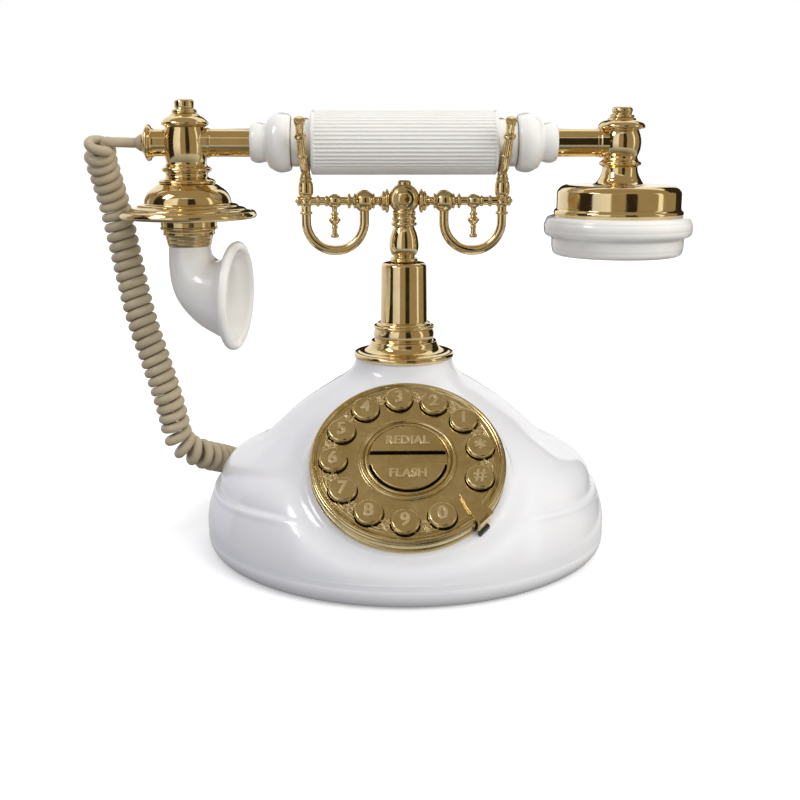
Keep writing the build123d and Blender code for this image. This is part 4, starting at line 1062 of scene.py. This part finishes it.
BUSHING = [
    (1.9, 8.2), (5.9, 8.2), (5.9, 13.4), (6.3, 14.6, 7.4, 15.5), (8, 16.2, 7.8, 17), (6.8, 17.7), (5.4, 17.9),
    (4.9, 18.2), (4.4, 18.9), (1.9, 18.9)]
turned("bushing_spool", [(BUSHING, (-HUB_X, 0, HANDSET_Z), (-1, 0, 0))],
       "handset", GOLD, "cord_bushing", segments=64)
turned("relief_bead", [([(0, -115.6), (3.3, -115.6), (3.7, -116.9, 3.0, -118.1), (2.5, -118.9, 2.2, -119.2),
                         (0, -119.2)], HANDSET_AXIS, (1, 0, 0))],
       "handset", CORD, "strain_relief", segments=48, soften=0.1)
RECEIVER_POST = [
    (0, 163.4), (12.2, 163.4), (10.6, 164.3, 9.4, 166), (8.2, 168.4, 7.7, 171), (7.9, 171.5), (8.8, 171.9),
    (9.3, 172.7, 8.8, 173.6), (8, 174.2), (7.5, 175.2), (7.5, 176), (8.9, 181.4, 8, 186.4), (7.7, 187.2),
    (9, 187.9), (10.3, 188.5, 10.2, 189.6), (9.6, 190.4), (8.2, 191.2, 6.4, 191.7), (6, 192.6), (0, 192.6)]
turned("receiver_post", [(RECEIVER_POST, RIGHT_END, UP),
                         (rod_socket(9.4, 9.8), (HUB_X, 0, HANDSET_Z), (-1, 0, 0))],
       "handset", GOLD, "receiver_hub")
RECEIVER_SHELL = [
    (0, 163.2), (22.4, 163.2), (25.2, 162.9, 27, 161.5), (27.7, 160.6), (27.9, 159.6), (27.9, 153.2),
    (28.1, 152.6), (28.7, 152.1), (29.1, 151.3, 29, 150.4), (28.7, 149.5), (25.4, 149.5), (25.4, 161), (0, 161)]
turned("receiver_shell", [(RECEIVER_SHELL, RIGHT_END, UP)], "handset", GOLD, "receiver_cup", segments=128)
EAR_PIECE = [
    (0, 133.4), (16, 133.2), (24, 132.3), (25.8, 132.1), (28.4, 132.4, 29.4, 134.4), (29.7, 135.6), (29.8, 138.6),
    (30, 139.6, 30.7, 140.2), (32.6, 141.2, 33.3, 143.6), (33.4, 145.2, 32.8, 147), (31.8, 148.8, 30, 149.4),
    (28.8, 149.6), (25.4, 149.5), (25.4, 135.6), (0, 135.6)]
ear = turned("ear_piece", [(EAR_PIECE, RIGHT_END, UP)],
             "handset", WHITE_HANDSET, "ear_cap", segments=128, soften=0.3)
pierced = [(0, 0)] + [(6.5, 60 * i) for i in range(6)] + [(12.5, 30 * i) for i in range(12)]
cut(ear, *joined([turned_mesh(drum(1.4, 130, 137),
                              (HUB_X + r * cos(radians(a)), r * sin(radians(a)), 0), UP, 24, 0.01)
                  for r, a in pierced]))
dress(ear, "handset", WHITE_HANDSET, "ear_cap", sharp=45)

# ---- floor, light and surroundings ----------------------------------------
scene = bpy.context.scene
scene.view_settings.view_transform = "Standard"
world = bpy.data.worlds.new("studio")
scene.world = world
world.use_nodes = True
sky = world.node_tree
direction = sky.nodes.new("ShaderNodeTexCoord")
parts = sky.nodes.new("ShaderNodeSeparateXYZ")
sky.links.new(direction.outputs["Generated"], parts.inputs["Vector"])


def sky_ramp(axis, start, stop, low, high):
    """A value that runs with the direction's part along an axis."""
    return ranged(sky, parts.outputs[axis], start, stop, low, high)


cool_to_white = mixed(sky, sky_ramp("X", -0.9, -0.36, 0, 1), (0.74, 0.74, 0.82), (1, 1, 1))
tinted = mixed(sky, sky_ramp("X", 0.36, 0.9, 0, 1), cool_to_white, (1.14, 1.11, 1.05))
sky.links.new(tinted, sky.nodes["Background"].inputs["Color"])
sky.links.new(sky_ramp("Z", -0.6, -0.03, 0.14, 1.0), sky.nodes["Background"].inputs["Strength"])

floor_made = Shader("pale_floor", 0.6, Specular_IOR_Level=0.0, Emission_Color=(1, 1, 1, 1), Emission_Strength=0.22)
floor_made.colour(floor_made.mix(floor_made.noise(6, 3), (0.97, 0.97, 0.97), (0.985, 0.985, 0.985)))
floor_made.rough(floor_made.noise(40, 4), 0.55, 0.75)


def stage_sheet(name, corners, material, camera_sees=True):
    mesh = bpy.data.meshes.new(name)
    mesh.from_pydata([Vector(c) for c in corners], [], [(0, 1, 2, 3)])
    sheet = linked(name, mesh)
    sheet.data.materials.append(material)
    sheet.visible_diffuse = False
    if not camera_sees:
        sheet.visible_camera = sheet.visible_shadow = False
    return sheet


floor = stage_sheet("floor", [(-6, -6, 0), (6, -6, 0), (6, 6, 0), (-6, 6, 0)], floor_made.material)
floor.visible_glossy = False

TAN, UMBER = (0.46, 0.37, 0.24), (0.035, 0.026, 0.016)


def paint(name, shade):
    made = Shader(name, 0.9, Specular_IOR_Level=0.0, Emission_Strength=0.78)
    made.bsdf.inputs["Base Color"].default_value = (0, 0, 0, 1)
    made.link(made.mix(made.noise(3, 2), tuple(0.85 * s for s in shade), shade), made.bsdf.inputs["Emission Color"])
    return made.material


PAINTS = {TAN: paint("tan_card", TAN), UMBER: paint("umber_card", UMBER)}


def card(name, first, last, shade, low=-0.3, high=1.4, radius=1.5):
    """An upright card seen only in reflections. Azimuth 0 is behind the camera, 90 at the right."""
    steps = max(1, round((last - first) / 15))
    for i in range(steps):
        ends = [(radius * sin(radians(a)), -radius * cos(radians(a)))
                for a in (first + (last - first) * i / steps, first + (last - first) * (i + 1) / steps)]
        corners = [(*ends[0], low), (*ends[1], low), (*ends[1], high), (*ends[0], high)]
        stage_sheet(f"{name}_{i}", corners, PAINTS[shade], False)


for number, (first, last, shade) in enumerate((
        (-112, -92, TAN), (-92, -58, UMBER), (-22, 5, TAN), (5, 26, UMBER), (26, 66, TAN), (76, 112, TAN),
        (112, 150, UMBER), (168, 190, UMBER))):
    card(f"card_{number}", first, last, shade)
stage_sheet("card_ceiling", [(-1.6, -1.4, 1.5), (1.6, -1.4, 1.5), (1.6, 0.5, 1.5), (-1.6, 0.5, 1.5)],
            PAINTS[TAN], False)


def softbox(name, place, aim, size, power, tint=(1, 1, 1), shine=True, lights=True):
    light = bpy.data.lights.new(name, "AREA")
    light.shape, light.size, light.size_y, light.energy, light.color = "RECTANGLE", size[0], size[1], power, tint
    lamp = linked(name, light)
    lamp.location = place
    lamp.rotation_euler = (Vector(aim) - Vector(place)).to_track_quat("-Z", "Y").to_euler()
    lamp.visible_camera = False
    lamp.visible_glossy, lamp.visible_diffuse = shine, lights


softbox("glint", (-0.85, -0.45, 1.0), (0, 0, 0.05), (0.32, 0.5), 3.6, lights=False)
softbox("key", (0.8, -0.75, 0.75), (0, 0, 0.08), (0.7, 0.7), 5.0, (1.0, 0.985, 0.96), shine=False)
softbox("top", (0.1, 0.1, 1.2), (0, 0, 0.1), (0.7, 0.5), 1.5, shine=False)
